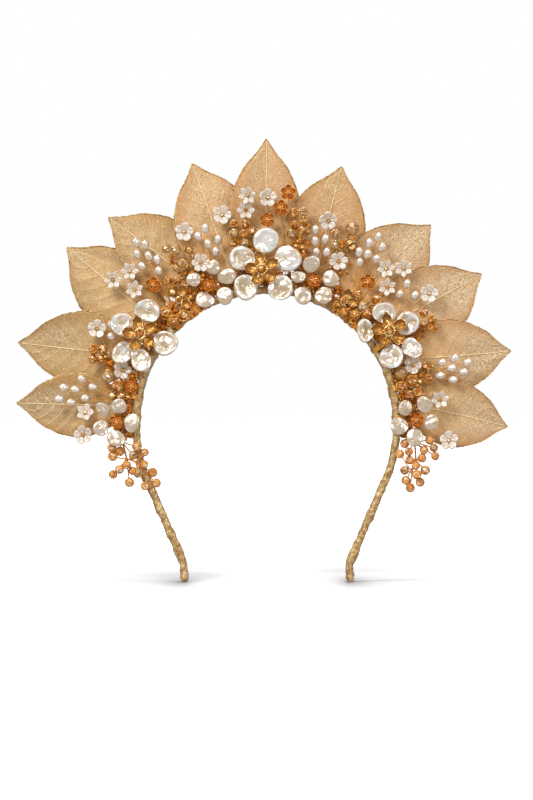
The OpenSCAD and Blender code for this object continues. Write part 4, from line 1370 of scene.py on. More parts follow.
@dataclass
class Petal:
    """A baroque pearl: a flattish pearl with an uneven outline, a raised rim and a dented front."""

    place: Matrix
    long: float
    wide: float
    phase: float
    seed: float
    dish: float
    kind: PetalKind
    segments: int = 48
    levels: int = 38
    back: float = 0.34

    def __post_init__(self) -> None:
        """Take up what the kind sets."""
        self.thick, self.flat, self.bowl, self.rough, share = self.kind.value
        self.dish *= share

    def reach(self, k: float) -> float:
        """How far out the front is at a level, from 1 at the rim to 0 at its middle."""
        return math.cos((k - self.back) / (1 - self.back) * math.pi / 2)

    def shape(self, a: float, k: float) -> Vector:
        """The petal's surface before it is placed.

        Args:
            a: Angle in radians.
            k: Level, from 0 in the middle of the back to 1 in the middle of the front.

        Returns:
            The point.
        """
        phase = math.radians(self.phase)
        wobble = 1 + 0.045 * math.sin(2 * a + phase) + 0.032 * math.sin(3 * a - 2 * phase)
        wobble += 0.03 * drift(a, 1.6, self.seed)
        if k < self.back:
            theta = k / self.back * math.pi / 2
            rho, y = math.sin(theta), 0.5 * math.cos(theta)
        else:
            rho = self.reach(k)
            y = self.bowl * max(1 - (rho / 0.7) ** 2, 0.0) - 0.42 * math.sqrt(max(1 - rho ** self.flat, 0.0))
        if k > 0.2:
            y -= self.dents(a, rho) * self.rough * ease(0.2, 0.5, k)
        across, up = rho * math.cos(a) * wobble, rho * math.sin(a) * wobble
        return Vector((across * self.wide / 2, y * self.thick, up * self.long / 2))

    def dents(self, a: float, rho: float) -> float:
        """How far the nacre stands out over the smooth front: folds, pits and a rolled rim.

        Args:
            a: Angle in radians.
            rho: Share of the way out to the rim.

        Returns:
            The height as a share of the thickness.
        """
        at = polar(a, rho, self.seed)
        broad = noise.noise(at * 1.55)
        bent = at + Vector((noise.noise(at * 1.6), noise.noise(at * 1.6 + Vector((5, 0, 0))), 0)) * 0.5
        crease = math.exp(-(noise.noise(bent * 1.35) / 0.11) ** 2)
        fine = noise.noise(bent * 4.5)
        uneven = drift(a, 1.3, self.seed)
        lip = math.exp(-((rho - 0.88 - 0.1 * uneven) / 0.06) ** 2) * (0.5 + 1.6 * uneven)
        sunk = 0.26 * self.dish * ease(0.88, 0.5, rho + 0.25 * uneven)
        folds = 0.4 * broad + 0.1 * crease + 0.015 * fine - sunk
        return folds * ease(1.0, 0.88, rho) + (0.08 + 0.08 * self.dish) * lip

    def hollow(self, a: float, k: float) -> float:
        """The share of painted shade, a darker beige, at an angle on a level, in the hollows of the front
        only.
        """
        rho = self.reach(max(k, self.back))
        return self.dish * ease(0.16, -0.3, self.dents(a, rho)) * ease(0.98, 0.8, rho)

    def part(self) -> Part:
        """The petal in place, with its hollows marked for the painted shade.

        Returns:
            The closed petal.
        """
        bm = mark(ring_form(self.segments, self.levels, self.shape), "hollow_shade", self.hollow)
        bmesh.ops.transform(bm, matrix=self.place, verts=bm.verts[:])
        return bm


@dataclass
class Flower:
    """A flower of five baroque petals round a heart.

    hub holds the rings of the heart's middle, columns: share of the way, radius, height. arm is the route of
    the arm under each metal petal.
    """

    index: int
    petal_tilt: float = 10.0
    tints: tuple = (0.0, 0.9, 0.6)
    first_turn: float = 102.0
    hub: tuple = ((0.0, 0.0, 0.0), (0.2, 2.3, 0.0), (0.35, 2.6, 0.3), (0.55, 2.5, 1.1), (0.7, 2.1, 1.4),
                  (1.0, 0.0, 1.3))
    arm: tuple = ((1.6, 0, 1.0), (3, 0, 1.2), (4.5, 0, 1.2), (5.6, 0, 1.3))

    def __post_init__(self) -> None:
        """Read the flower's name, place and size."""
        self.name = (BIG_NAMES + SMALL_NAMES)[self.index]
        self.x, self.z, self.y = FLOWERS[self.index]
        self.big = self.index < len(BIG_NAMES)

    def petals(self) -> list[Petal]:
        """The five petals, each with its long axis away from the heart.

        Returns:
            The petals, in the order of their rows.
        """
        kind = PetalKind.BIG if self.big else PetalKind.SMALL
        made = []
        for i, (dx, dz, long, wide, lift, dish) in enumerate(PETALS[self.index]):
            place = Matrix.Translation((self.x + dx, self.y - lift, self.z + dz))
            place = place @ Matrix.Rotation(math.atan2(dx, dz), 4, "Y")
            place = place @ Matrix.Rotation(math.radians(self.petal_tilt), 4, "X")
            phase, seed = 50 * i + 90 * self.index, self.index * 7.3 + i * 3.1
            made.append(Petal(place, long, wide, phase, seed, dish, kind))
        return made

    def build(self) -> None:
        """Build the petals, one piece each on the large flowers and one piece for a small flower."""
        if self.big:
            for i, petal in enumerate(self.petals()):
                piece = Piece(f"pearl_petal_{self.name}_{i + 1}")
                piece.add(petal.part(), PEARL, tint=self.tints[self.index] + 0.1 * i)
                piece.place("baroque_pearl", f"{self.name}_petal_{i + 1}")
            self.heart()
        else:
            piece = Piece(f"pearl_flower_{self.name}")
            for i, petal in enumerate(self.petals()):
                piece.add(petal.part(), BLUSH, tint=(i * 0.37) % 1.0)
            piece.place("blush_pearl", f"small_flower_{self.name}")
            beads = Piece(f"bead_heart_{self.name}")
            rosette(beads, Vector((self.x, self.y + 0.6, self.z)), 6, 0.3)
            beads.place("copper_bead", f"small_heart_{self.name}")

    def heart(self) -> None:
        """Build the metal heart: five hollow petals on arms round a cut stone."""
        base = facing((self.x, self.y - 1, self.z))
        piece = Piece(f"gold_heart_{self.name}")
        draw = random.Random(40 + self.index)

        def shape(a: float, k: float) -> Vector:
            """The hub's point at an angle on a level."""
            return polar(a, spread(k, self.hub) * (1 + 0.08 * math.cos(10 * a)), spread(k, self.hub, 2))

        piece.add(ring_form(40, 12, shape), GOLD, base)
        route = [Vector(point) for point in self.arm]
        turns = [math.radians(self.first_turn + 72 * i) for i in range(5)]
        for i, turn in enumerate(turns):
            arm = base @ Matrix.Rotation(turn, 4, "Z")
            piece.add(sweep(route, lambda k: mix(0.85, 0.6, k), 8), GOLD, arm, draw.random())
            lean = Matrix.Rotation(math.radians(draw.uniform(-12, 6)), 4, "Y")
            wide = 2.5 if i == 0 else draw.uniform(2.7, 3.0)
            cup(piece, arm @ Matrix.Translation(route[-1]) @ lean, 3.4, wide, i == 0, draw)
        setting(piece, lifted(base, 2.6), 2.4, 12)
        for turn in turns:
            between = polar(turn + math.radians(36), 3.9, 1.7)
            piece.bead(COPPER, base @ Matrix.Translation(between), 0.8, draw.random())
        piece.place("antique_gold", f"{self.name}_heart")


# A metal cup's wall from the middle of its back to the middle of its bowl.
# columns: share of the way, radius as a share of the cup's, height
CUP_WALL = ((0.0, 0.0, 0.0), (0.1, 0.4, 0.05), (0.26, 0.8, 0.6), (0.42, 0.98, 1.4), (0.5, 1.0, 1.6),
            (0.57, 0.94, 1.5), (0.7, 0.74, 0.75), (0.86, 0.4, 0.4), (1.0, 0.0, 0.3))


def lifted(seat: Matrix, height: float) -> Matrix:
    """A seat moved along its own z axis."""
    return seat @ Matrix.Translation((0, 0, height))


def cup(piece: Piece, seat: Matrix, long: float, wide: float, pointed: bool, draw: random.Random,
        finish: Finish = GOLD, frill: float = 0.12) -> None:
    """A hollow metal petal that opens to the front: a thin bowl with a lobed or pointed rim.

    Args:
        piece: The piece that it joins.
        seat: The middle of its back, with the outer end towards x.
        long: Half its length.
        wide: Half its width.
        pointed: Whether its outer end is a point.
        draw: Its random source.
        finish: What it is made of.
        frill: How far its rim is lobed.
    """
    folds, waves = draw.uniform(0, TAU), draw.uniform(0.1, 0.3)

    def shape(a: float, k: float) -> Vector:
        """The cup's point at an angle on a level."""
        r, h = spread(k, CUP_WALL), spread(k, CUP_WALL, 2)
        far = ease(-0.2, 0.7, math.cos(a))
        lobes = 1 + frill * math.cos(7 * a) * far * r
        if pointed:
            lobes += 0.34 * math.exp(-((a + math.pi) % TAU - math.pi) ** 2 / 0.12) * r
        curl = 1 + waves * math.cos(3 * a + folds) + 0.2 * far
        crease = 0.22 * math.exp(-(math.sin(a) / 0.22) ** 2) * far * ease(0.55, 0.7, k) * r
        edge = polar(a, r * lobes)
        return Vector((long * edge.x, wide * edge.y, h * curl * long / 2.9 - crease))

    # Darker inside the bowl: painted shade, and on the gold cups also the patina of the hollow.
    bowl = mark(ring_form(36, 24, shape), "hollow_shade", lambda a, k: ease(0.52, 0.74, k))
    piece.add(bowl, finish, seat, draw.random())
    if finish is GOLD:
        piece.bead(GOLD, seat @ Matrix.Translation((long * 0.98, 0, 1.5)), 0.36, 0.0, u=6, v=5)


def setting(piece: Piece, seat: Matrix, radius: float, dots: int) -> None:
    """A round cut stone that faces the front, in two rings of wire with a ring of metal dots.

    Args:
        piece: The piece that it joins.
        seat: The middle of its back.
        radius: The setting's radius.
        dots: How many dots there are.
    """
    piece.bead(AMBER, lifted(seat, 0.7), (radius * 0.85, radius * 0.85, radius * 0.7), 0.8, smooth=False)
    piece.add(loop(radius * 0.98, radius * 0.12, 20, 6), GOLD, lifted(seat, 0.8), 0.9)
    piece.add(loop(radius * 1.12, radius * 0.17, 20, 6), GOLD, lifted(seat, 0.1), 0.2)
    for i in range(dots):
        dot = seat @ Matrix.Translation(polar(TAU * i / dots, radius * 1.16, 0.7))
        piece.bead(GOLD if i % 3 else SILVER, dot, radius * 0.2, 0.9)


def rosette(piece: Piece, back: Vector, count: int, spin: float) -> None:
    """A beaded flower that faces the front: a ring of cups round a middle bead, with silver dots.

    Args:
        piece: The piece that it joins.
        back: The middle of its back.
        count: Cups in the ring.
        spin: Turn of the ring in radians.
    """
    base = facing(back, spin)
    draw = random.Random(int(abs(back.x) * 31 + abs(back.z) * 17))
    piece.add(loop(2.2, 0.5, 18, 6), COPPER, lifted(base, 0.5), 0.1)
    for i in range(count):
        turn = base @ Matrix.Rotation(TAU * i / count, 4, "Z")
        lean = Matrix.Rotation(math.radians(draw.uniform(-22, 4)), 4, "Y")
        size = draw.uniform(1.4, 1.6) * (1.08 if count == 5 else 0.95)
        seat = turn @ Matrix.Translation((2.4, 0, 0.55)) @ lean
        cup(piece, seat, size, size * 0.95, False, draw, COPPER, 0.0)
        notch = turn @ Matrix.Rotation(math.pi / count, 4, "Z")
        piece.bead(COPPER, notch @ Matrix.Translation((2.7, 0, 0.9)), 0.55, draw.random())
        piece.bead(SILVER, notch @ Matrix.Translation((1.3, 0, 2.15)), 0.3, 0.9)
    piece.bead(COPPER, lifted(base, 1.2), (1.4, 1.4, 0.95), 0.6, u=12, v=8)
    piece.bead(SILVER, lifted(base, 2.2), 0.27, 0.9)


class BeadFlowers:
    """The copper bead flowers between the sprays."""

    def build(self) -> None:
        """Build all of them as one piece."""
        piece = Piece("copper_bead_flowers")
        for x, z, count, _, lift in BEAD_FLOWERS:
            rosette(piece, Vector((x, BEAD_Y + BEAD_BACK - lift, z)), count, math.radians(17 * count))
        piece.place("copper_bead", "bead_flowers")


@dataclass
class ShellFlowers:
    """Carved shell flowers of one side: lobed discs, dished and grooved, with a wired bead in the dish.

    wall runs from the middle of the back to the middle of the dish, columns: share of the way, radius as a
    share of the flower's, height. front is the share where the front begins.
    """

    name: str
    rows: Sequence[Sequence[float]]
    radius: float = 4.75
    front: float = 0.35
    wall: tuple = ((0.0, 0.0, 0.0), (0.14, 0.6, 0.0), (0.24, 0.9, 0.25), (0.32, 1.0, 1.1),
                   (0.38, 0.985, 1.75), (0.44, 0.93, 1.95), (0.56, 0.74, 1.8), (0.7, 0.5, 1.4),
                   (0.84, 0.27, 1.05), (1.0, 0.0, 0.9))

    def flower(self, lobes: int, star: int, seed: float) -> Part:
        """One flower with its back at z = 0.

        Args:
            lobes: How many petals it has.
            star: 1 where they are pointed, 0 where they are round.
            seed: Its random source.

        Returns:
            The closed flower, with its grooves and its dish marked for painted shade.
        """
        def shape(a: float, k: float) -> Vector:
            """The flower's point at an angle on a level."""
            rho, h = spread(k, self.wall), spread(k, self.wall, 2)
            swing = abs(math.cos(lobes * a / 2))
            off = math.acos(min(swing, 1.0)) / (math.pi / 2)
            lobe = 1 - 0.34 * off if star else 1 - 0.26 * off ** 3
            lobe *= 1 + 0.05 * drift(a, 1, seed)
            if k > self.front:
                valley = math.exp(-(swing / 0.22) ** 2) * ease(0.1, 0.4, rho)
                ridge = math.exp(-(off / 0.16) ** 2) * ease(0.2, 0.5, rho)
                ribs = math.cos(lobes * 6 * a) * ease(0.25, 0.6, rho) * ease(1.0, 0.9, rho)
                h += 0.45 * swing * ease(0.4, 0.95, rho) - 0.8 * valley + (0.35 if star else -0.25) * ridge
                h += 0.2 * drift(a, 2, seed) - 0.07 * ribs
            return polar(a, self.radius * rho * mix(1.0, lobe, ease(0.1, 0.8, rho)), h)

        def depth(a: float, k: float) -> float:
            """How much painted shade a point takes, by how deep it lies in a groove and in the dish."""
            if k <= self.front:
                return 0.0
            rho, swing = spread(k, self.wall), abs(math.cos(lobes * a / 2))
            return 0.6 * math.exp(-(swing / 0.2) ** 2) * ease(0.15, 0.5, rho) + 0.6 * ease(0.5, 0.15, rho)

        return mark(ring_form(lobes * 14, 26, shape), "hollow_shade", depth)

    def build(self) -> None:
        """Build the side's flowers as one piece."""
        piece = Piece(f"shell_blossoms_{self.name}")
        for i, (x, z, lobes, star, spin, tip_x, tip_z, lift) in enumerate(self.rows):
            lean = tilt(math.radians(tip_x), math.radians(tip_z))
            place = Matrix.Translation((x, SHELL_BACK_Y - lift, z)) @ lean
            place = place @ Matrix.Rotation(math.radians(spin), 4, "Z")
            piece.add(self.flower(lobes, star, i * 5.1), SHELL, place, (i * 0.41) % 1.0)
            piece.add(loop(1.0, 0.2, 16, 5), WIRE, lifted(place, 1.25), 0.6)
            piece.bead(SPARK if i % 3 else SILVER, lifted(place, 1.6), (0.72, 0.72, 0.62), 0.7, u=10, v=8)
            for j in range(3):
                dot = place @ Matrix.Translation(polar(TAU * j / 3 + i, 1.05, 1.5))
                piece.bead(GOLD, dot, 0.26, 0.8, u=6, v=5)
        piece.place("carved_shell", f"shell_flowers_{self.name}")


# Pearls and stones


@dataclass(frozen=True)
class Strand:
    """A wire from the band's bundle to a bead, with the bead's place and direction."""

    root: Vector
    bend: Vector
    bead: Vector

    @property
    def way(self) -> Vector:
        """The direction of the wire through the bead."""
        return (self.bead - self.bend).normalized()


def strands(rows: Sequence) -> list[Strand]:
    """The wires of a table of sprays or clusters.

    Args:
        rows: The root's angle and the beads of each, where a pearl's row has no lift.

    Returns:
        A wire for each bead.
    """
    made = []
    for angle, beads in rows:
        root = on_bundle(angle)
        for x, z, *lift in beads:
            place = Vector((x, RICE_Y - sum(lift), z))
            made.append(Strand(root, elbow(root, place), place))
    return made


def hanging(side: str) -> list[Strand]:
    """The wires of a side's drops, each from the end of its twig."""
    forks = [Vector((x, y, z)) for x, z, y in TWIGS[side]]
    return [Strand(forks[twig], forks[twig], Vector((x, y, z))) for x, z, y, twig in DROPS[side]]


@dataclass
class RicePearls:
    """The rice pearls of one side, each on its wire."""

    name: str
    rows: Sequence

    @staticmethod
    def pearl(seed: float) -> Part:
        """One uneven rice pearl along the z axis.

        Args:
            seed: Its random source.

        Returns:
            The closed pearl.
        """
        def shape(a: float, k: float) -> Vector:
            """The pearl's point at an angle on a level."""
            z = -math.cos(math.pi * k)
            r = math.sin(math.pi * k) ** 0.86 * (1 + 0.06 * z)
            r *= 1 + 0.07 * drift(a, 1, z * 1.2 + seed)
            return polar(a, r * RICE_D / 2, z * RICE_L / 2)

        return ring_form(16, 12, shape)

    def build(self) -> None:
        """Build the side's pearls as one piece."""
        draw = random.Random(len(self.name) * 5)
        piece = Piece(f"drilled_rice_{self.name}")
        for i, strand in enumerate(strands(self.rows)):
            place = aim(strand.bead, strand.way, draw.uniform(0, TAU))
            piece.add(self.pearl(i * 3.7), RICE, place, draw.random())
            for end in (-1, 1):
                piece.bead(WIRE, lifted(place, end * RICE_L / 2), (0.42, 0.42, 0.34), 0.7)
        piece.place("rice_pearl", f"rice_pearls_{self.name}")


class Gem(Enum):
    """The two kinds of cut stones: label, finish, second finish, width and slot."""

    AMBER = ("amber", AMBER, SPARK, 4.2, "amber_stone")
    CHAMPAGNE = ("champagne", CHAMPAGNE, SPARK, 4.0, "champagne_drop")


class Cut(Enum):
    """The cuts of the stones and the metal pieces among them, each with its letter in CUTS."""

    ROUND = "r"
    CLEAR = "c"
    BIG = "b"
    PEAR = "p"
    BICONE = "k"
    NUGGET = "f"
    SET = "h"
    METAL_PETAL = "u"


# The cut of each stone, in the order of its table. The drops are all round.
CUTS = {
    "stones_centre": "rcrrcrrrcrrr",
    "stones_left": "rrfhuuubbbccfp",
    "stones_right": "ccpkhuuuurbbrb",
    "stones_left_low": "rrrrpbrf",
    "stones_right_low": "rrrrbbbbkrr"
}

# How much longer than half its width a cut is
STRETCH = {Cut.BIG: 1.35, Cut.PEAR: 1.5, Cut.BICONE: 1.55, Cut.CLEAR: 1.05}


@dataclass
class CutStones:
    """A group of cut stones on wires, each in loops of wire, with metal petals and nuggets among them."""

    node: str
    gem: Gem
    wires: list[Strand]

    def __post_init__(self) -> None:
        """Read the kind's finishes and the cut of each stone."""
        self.label, self.finish, self.other, self.width, self.slot = self.gem.value
        self.cuts = [Cut(letter) for letter in CUTS.get(self.node, "r" * len(self.wires))]

    def build(self) -> None:
        """Build the group as one piece."""
        draw = random.Random(sum(map(ord, self.node)))
        self.ball, self.ring = as_mesh(ball(8, 6)), as_mesh(loop(1.0, 0.11, 14, 4))
        piece = Piece(f"{self.label}_{self.node}")
        middle = Vector()
        for i, (strand, cut) in enumerate(zip(self.wires, self.cuts)):
            if cut is Cut.SET:
                middle = strand.bead
                setting(piece, facing(middle), 1.5, 9)
            elif cut is Cut.METAL_PETAL:
                way = strand.bead - middle
                seat = facing(middle + way * 0.95 + Vector((0, 0.6, 0)), math.atan2(way.z, way.x))
                lean = Matrix.Rotation(math.radians(draw.uniform(-20, 0)), 4, "Y")
                cup(piece, seat @ lean, 2.75, 2.2, False, draw)
            elif cut is Cut.NUGGET:
                piece.add(self.nugget(strand.bead.x), GOLD, aim(strand.bead, strand.way), 0.8)
            else:
                self.stone(piece, strand, cut, i, draw)
        piece.place(self.slot, self.node)
        for mesh in (self.ball, self.ring):
            bpy.data.meshes.remove(mesh)

    @staticmethod
    def nugget(seed: float) -> Part:
        """A crumpled nugget of foil.

        Args:
            seed: The source of its crumples.

        Returns:
            The closed nugget.
        """
        bm = ball(12, 8, (2.0, 1.9, 2.1))
        for v in bm.verts:
            v.co *= 1 + 0.3 * noise.noise(v.co * 0.8 + Vector((seed, 0, 0)))
        return bm

    def stone(self, piece: Piece, strand: Strand, cut: Cut, index: int, draw: random.Random) -> None:
        """Add one cut stone with its loops of wire and its end caps.

        Args:
            piece: The piece that it joins.
            strand: Its wire.
            cut: Its cut.
            index: Its number in the group.
            draw: Its random source.
        """
        usual = draw.uniform(0.95, 1.12)
        half = self.width / 2 * STRETCH.get(cut, usual)
        place = aim(strand.bead, strand.way, draw.uniform(0, TAU))
        pale = cut in (Cut.CLEAR, Cut.PEAR)
        finish = self.other if pale or index % 7 == 4 else self.finish
        if cut is Cut.BICONE:
            form = ring_form(8, 4, lambda a, k: polar(a, half * min(2 * k, 2 - 2 * k, 0.9),
                                                      mix(-half, half, k)))
            piece.add(form, finish, place, 0.0, smooth=False)
        else:
            deep = half * (1.15 if cut is Cut.PEAR else 0.96)
            size = Matrix.Diagonal((half, half, deep, 1))
            piece.add(self.ball, finish, place @ size, draw.random(), smooth=False)
        metal = GOLD if pale or cut is Cut.BICONE else WIRE
        for lean in (draw.uniform(-0.25, 0.25), draw.uniform(0.5, 2.6)):
            sway = Matrix.Rotation(draw.uniform(-0.6, 0.6), 4, "Y") @ tilt(0.0, lean)
            piece.add(self.ring, metal, put(strand.bead, half * 1.02, sway), draw.random() * 0.4)
        for end, cap in ((-1, GOLD), (1, SILVER)):
            size = Matrix.Diagonal((0.55, 0.55, 0.35, 1))
            piece.add(self.ball, cap, lifted(place, end * half) @ size, draw.random())


# Stems

# Every rice pearl, shell flower, bead flower and stone as a place to keep free, with a radius for each kind
OBSTACLES = [
    ([bead[:2] for rows in SPRAYS.values() for _, row in rows for bead in row], 2.3),
    ([row[:2] for rows in SHELLS.values() for row in rows], 4.2),
    ([row[:2] for row in BEAD_FLOWERS], 3.2),
    ([bead[:2] for rows in STONES.values() for _, row in rows for bead in row], 1.2)
]

# How far to the front a loose bead may stand
FRONT_Y = -7.2


def crowded(place: Vector, size: float) -> bool:
    """Whether a bead would run into a pearl, a flower or a stone, or hang inside the arch.

    Args:
        place: The bead's middle.
        size: Its radius.

    Returns:
        Whether it has no room.
    """
    inside = math.hypot(place.x, place.z - ARCH_Z) < ARCH_R + 1.5 + size
    return inside or place.y < FRONT_Y or any(
        math.hypot(place.x - x, place.z - z) < radius + size for beads, radius in OBSTACLES for x, z in beads)


@dataclass
class Stems:
    """The wires of one stretch of the crown: the bundle, its bindings and each wire that leaves it.

    Angles are in degrees from the top. span is the bundle's stretch, and crust the stretch where small stones
    cover the band's front. The fields in degrees or counts a degree say how thick the small beads lie.
    """

    name: str
    span: tuple[float, float]
    bindings: Sequence[float]
    flowers: Sequence[int]
    shells: Sequence
    beads: Sequence
    stones: list[Strand]
    pearls: list[Strand]
    drops: Sequence[Strand] = ()
    twigs: Sequence = ()
    twig_root: float = 0.0
    crust: tuple[float, float] = (0.0, 0.0)
    bundle_wires: int = 7
    binding_turns: int = 5
    binding_steps: int = 18
    moss_a_degree: int = 11
    crust_a_degree: int = 4
    seeds_a_stone: int = 3
    sprigs_a_stone: int = 10
    sprigs_a_flower: int = 16

    def wire(self, path: Sequence[Vector], radius: float = 0.2, finish: Finish = WIRE) -> None:
        """Add one round wire."""
        self.piece.add(sweep(path, lambda k: radius, 5), finish, tint=(path[0].x * 7.3 + path[-1].z) % 1.0)

    def bundle(self) -> None:
        """Add the twisted wires that run along the band."""
        start, end = self.span
        count = int((end - start) / 1.5)
        for number in range(self.bundle_wires):
            path = []
            for i in range(count + 1):
                angle = mix(start - 0.35, end + 0.35, i / count)
                off = polar(angle * 0.16 + TAU * number / self.bundle_wires, 1.0)
                path.append(on_arch(angle, BUNDLE_R - 0.5 + 1.45 * off.x, STEM_Y + 0.7 * off.y))
            self.wire(path, 0.42)

    def binding(self, angle: float) -> None:
        """Add the turns of wire that hold the bundle to the band.

        Args:
            angle: Where they are.
        """
        path = []
        count = self.binding_turns * self.binding_steps
        for i in range(count + 1):
            a = TAU * i / self.binding_steps
            depth = -0.1 + 4.55 * math.sin(a) * (1 - 0.12 * math.cos(a))
            path.append(on_arch(angle - 1.1 + 2.2 * i / count, ARCH_R + 1.75 + 4.05 * math.cos(a), depth))
        self.wire(path, 0.3)

    @staticmethod
    def climb(strand: Strand, stop: float) -> list[Vector]:
        """A smooth route from the bundle out along the leaves and up to a bead.

        Args:
            strand: The bead's wire.
            stop: How far from the bead's middle it ends.

        Returns:
            Nine points.
        """
        end = strand.bead - strand.way * stop
        path = []
        for i in range(9):
            t = i / 8
            if t < 0.6:
                path.append(strand.root.lerp(strand.bend, t / 0.6))
            else:
                path.append(strand.bend.lerp(end, (t - 0.6) / 0.4))
        middle = [b * 0.5 + (a + c) * 0.25 for a, b, c in zip(path, path[1:], path[2:])]
        return [path[0], *middle, path[-1]]

    def threaded(self, strand: Strand) -> None:
        """Add seed beads threaded on a wire below its stone, with a small loop of wire by each.

        Args:
            strand: The stone's wire.
        """
        draw = self.draw
        for _ in range(self.seeds_a_stone):
            at = strand.root.lerp(strand.bend, draw.uniform(0.25, 1.0))
            size = draw.uniform(0.62, 1.05)
            self.piece.add(self.seed, COPPER if draw.random() < 0.75 else GOLD, put(at, size), draw.random())
            turn = tilt(draw.uniform(-0.7, 0.7), -0.5)
            beside = at + Vector((draw.uniform(-0.7, 0.7), -0.5, draw.uniform(-0.7, 0.7)))
            self.piece.add(self.ring, WIRE, put(beside, draw.uniform(1.1, 1.7), turn), draw.random())

    def sprigs(self, strand: Strand, count: int) -> None:
        """Add short side wires with a seed bead at the end of each, where nothing else is in the way.

        Args:
            strand: The wire that they leave.
            count: How many are tried.
        """
        draw = self.draw
        for _ in range(count):
            share = draw.uniform(0.3, 1.0)
            if share < 0.8:
                start = strand.root.lerp(strand.bend, share / 0.8)
            else:
                start = strand.bend.lerp(strand.bead, share - 0.8)
            turn, reach = draw.uniform(0, TAU), draw.uniform(1.6, 3.8)
            size, shade, pick = draw.uniform(0.65, 1.1), draw.random(), draw.random()
            end = start + Vector((reach * math.cos(turn), -draw.uniform(0.8, 3.6), reach * math.sin(turn)))
            if crowded(end, size):
                continue
            self.wire([start, start.lerp(end, 0.5) + Vector((0, -0.4, 0)), end])
            finish = COPPER if pick < 0.45 else AMBER if pick < 0.85 else GOLD
            self.piece.add(self.seed, finish, put(end, size), shade, smooth=pick < 0.45)
            if pick > 0.3:
                self.piece.add(self.ring, WIRE, put(end, size * 1.08, tilt(0, shade - 0.4)), shade)

    def moss(self) -> None:
        """Add the close small beads and loops that cover the bundle between the flowers."""
        draw = self.draw
        start, end = self.span
        for _ in range(int((end - start) * self.moss_a_degree)):
            angle = mix(start - 0.7, end + 0.7, draw.random())
            size, shade, pick = draw.uniform(0.6, 1.2), draw.random(), draw.random()
            at = on_arch(angle, BUNDLE_R + draw.uniform(-2.2, 6.5), STEM_Y - draw.uniform(0.3, 2.3))
            if pick < 0.4:
                self.piece.add(self.ring, WIRE, put(at, size * 1.5, tilt(TAU * shade, -pick)), shade)
            else:
                self.piece.add(self.seed, COPPER if pick < 0.75 else AMBER, put(at, size), shade)

    def scatter(self) -> None:
        """Add the small stones that cover the band's front, each in a loop of wire."""
        draw = self.draw
        start, end = self.crust
        for _ in range(int((end - start) * self.crust_a_degree)):
            angle = mix(start, end, draw.random())
            at = on_arch(angle, ARCH_R + draw.uniform(-1.4, 3.5), draw.uniform(-5.0, -4.5))
            size, shade = draw.uniform(0.8, 1.5), draw.random()
            gem = AMBER if shade < 0.6 else COPPER
            self.piece.add(self.seed, gem, put(at, size), shade, smooth=gem is COPPER)
            metal = GOLD if shade < 0.3 else WIRE
            self.piece.add(self.ring, metal, put(at, size * 1.04, tilt(TAU * shade, shade)), shade)

    def hold(self, index: int) -> None:
        """Add the stem of a large or small flower and a wire to each of its petals.

        Args:
            index: The flower's number.
        """
        x, z, y = FLOWERS[index]
        layer = Vector((x, STEM_Y, z))
        self.wire([under(x, z), layer, layer + Vector((0, -0.6, 0)), Vector((x, y - 1.2, z))], 0.4)
        thick = BIG_THICK if index < len(BIG_NAMES) else SMALL_THICK
        for dx, dz, _, _, lift, _ in PETALS[index]:
            petal = Vector((x + dx, y - lift + thick / 2 + 0.2, z + dz))
            self.wire([Vector((x, -4.7, z)), petal], 0.28)

    def rise(self, root: Vector, back: Vector) -> None:
        """Add a wire that runs behind the leaves' front and rises to a flower's back."""
        layer = Vector((back.x, STEM_Y, back.z))
        self.wire([root, root.lerp(layer, 0.5), layer, back])

    def hang(self) -> None:
        """Add the twigs of the drop spray and the wire of each drop."""
        forks = [Vector((x, y, z)) for x, z, y in self.twigs]
        for a, b in zip([on_bundle(self.twig_root), *forks], forks):
            self.wire([a, a.lerp(b, 0.5) + Vector((0.25, -0.2, 0)), b], 0.5, DROP_WIRE)
        for fork in forks:
            self.piece.add(self.seed, DROP_WIRE, put(fork, 0.8), 0.5)
        for strand in self.drops:
            end = strand.bead - strand.way * (DROP_D / 2)
            sag = strand.root.lerp(end, 0.5) + Vector((0, 0.2, -0.3))
            self.wire([strand.root, sag, end], 0.36, DROP_WIRE)

    def build(self) -> None:
        """Build the stretch as one piece."""
        self.draw = random.Random(sum(map(ord, self.name)))
        self.seed, self.ring = as_mesh(ball(8, 6)), as_mesh(loop(1.0, 0.12, 12, 4))
        self.piece = Piece(f"wired_{self.name}")
        self.bundle()
        self.moss()
        self.scatter()
        for angle in self.bindings:
            self.binding(angle)
        for index in self.flowers:
            self.hold(index)
        for x, z, *_, lift in self.shells:
            self.rise(under(x, z), Vector((x, SHELL_BACK_Y - lift, z)))
        for x, z, _, angle, lift in self.beads:
            self.rise(on_bundle(angle), Vector((x, BEAD_Y + BEAD_BACK - lift, z)))
            layer = Vector((x, STEM_Y, z))
            flower = Strand(layer, layer, Vector((x, BEAD_Y - lift, z)))
            self.sprigs(flower, self.sprigs_a_flower)
        for strand in self.stones:
            self.wire(self.climb(strand, AMBER_D / 2))
            self.threaded(strand)
            self.sprigs(strand, self.sprigs_a_stone)
        for strand in self.pearls:
            self.wire(self.climb(strand, RICE_L / 2))
        self.hang()
        self.piece.place("craft_wire", self.name)
        for mesh in (self.seed, self.ring):
            bpy.data.meshes.remove(mesh)


# Studio

# The soft boxes that pearls and metal mirror: direction, cosines of the outer and inner edge, strength
SOFT_BOXES = (((-0.42, -0.72, 0.55), 0.8, 0.93, 3.2), ((0.8, -0.6, 0.25), 0.9, 0.97, 1.6))

# The lamps, columns: name, place, width, depth, watts
LAMPS = (
    ("key", (-0.5, -0.95, 0.8), 0.32, 0.32, 8.0),
    ("fill", (0.8, -0.9, 0.35), 0.25, 0.25, 2.0),
    ("top", (0.0, 0.0, 1.3), 0.15, 1.2, 6.0),
    ("back", (0.5, 1.1, 0.6), 0.6, 0.6, 4.0)
)


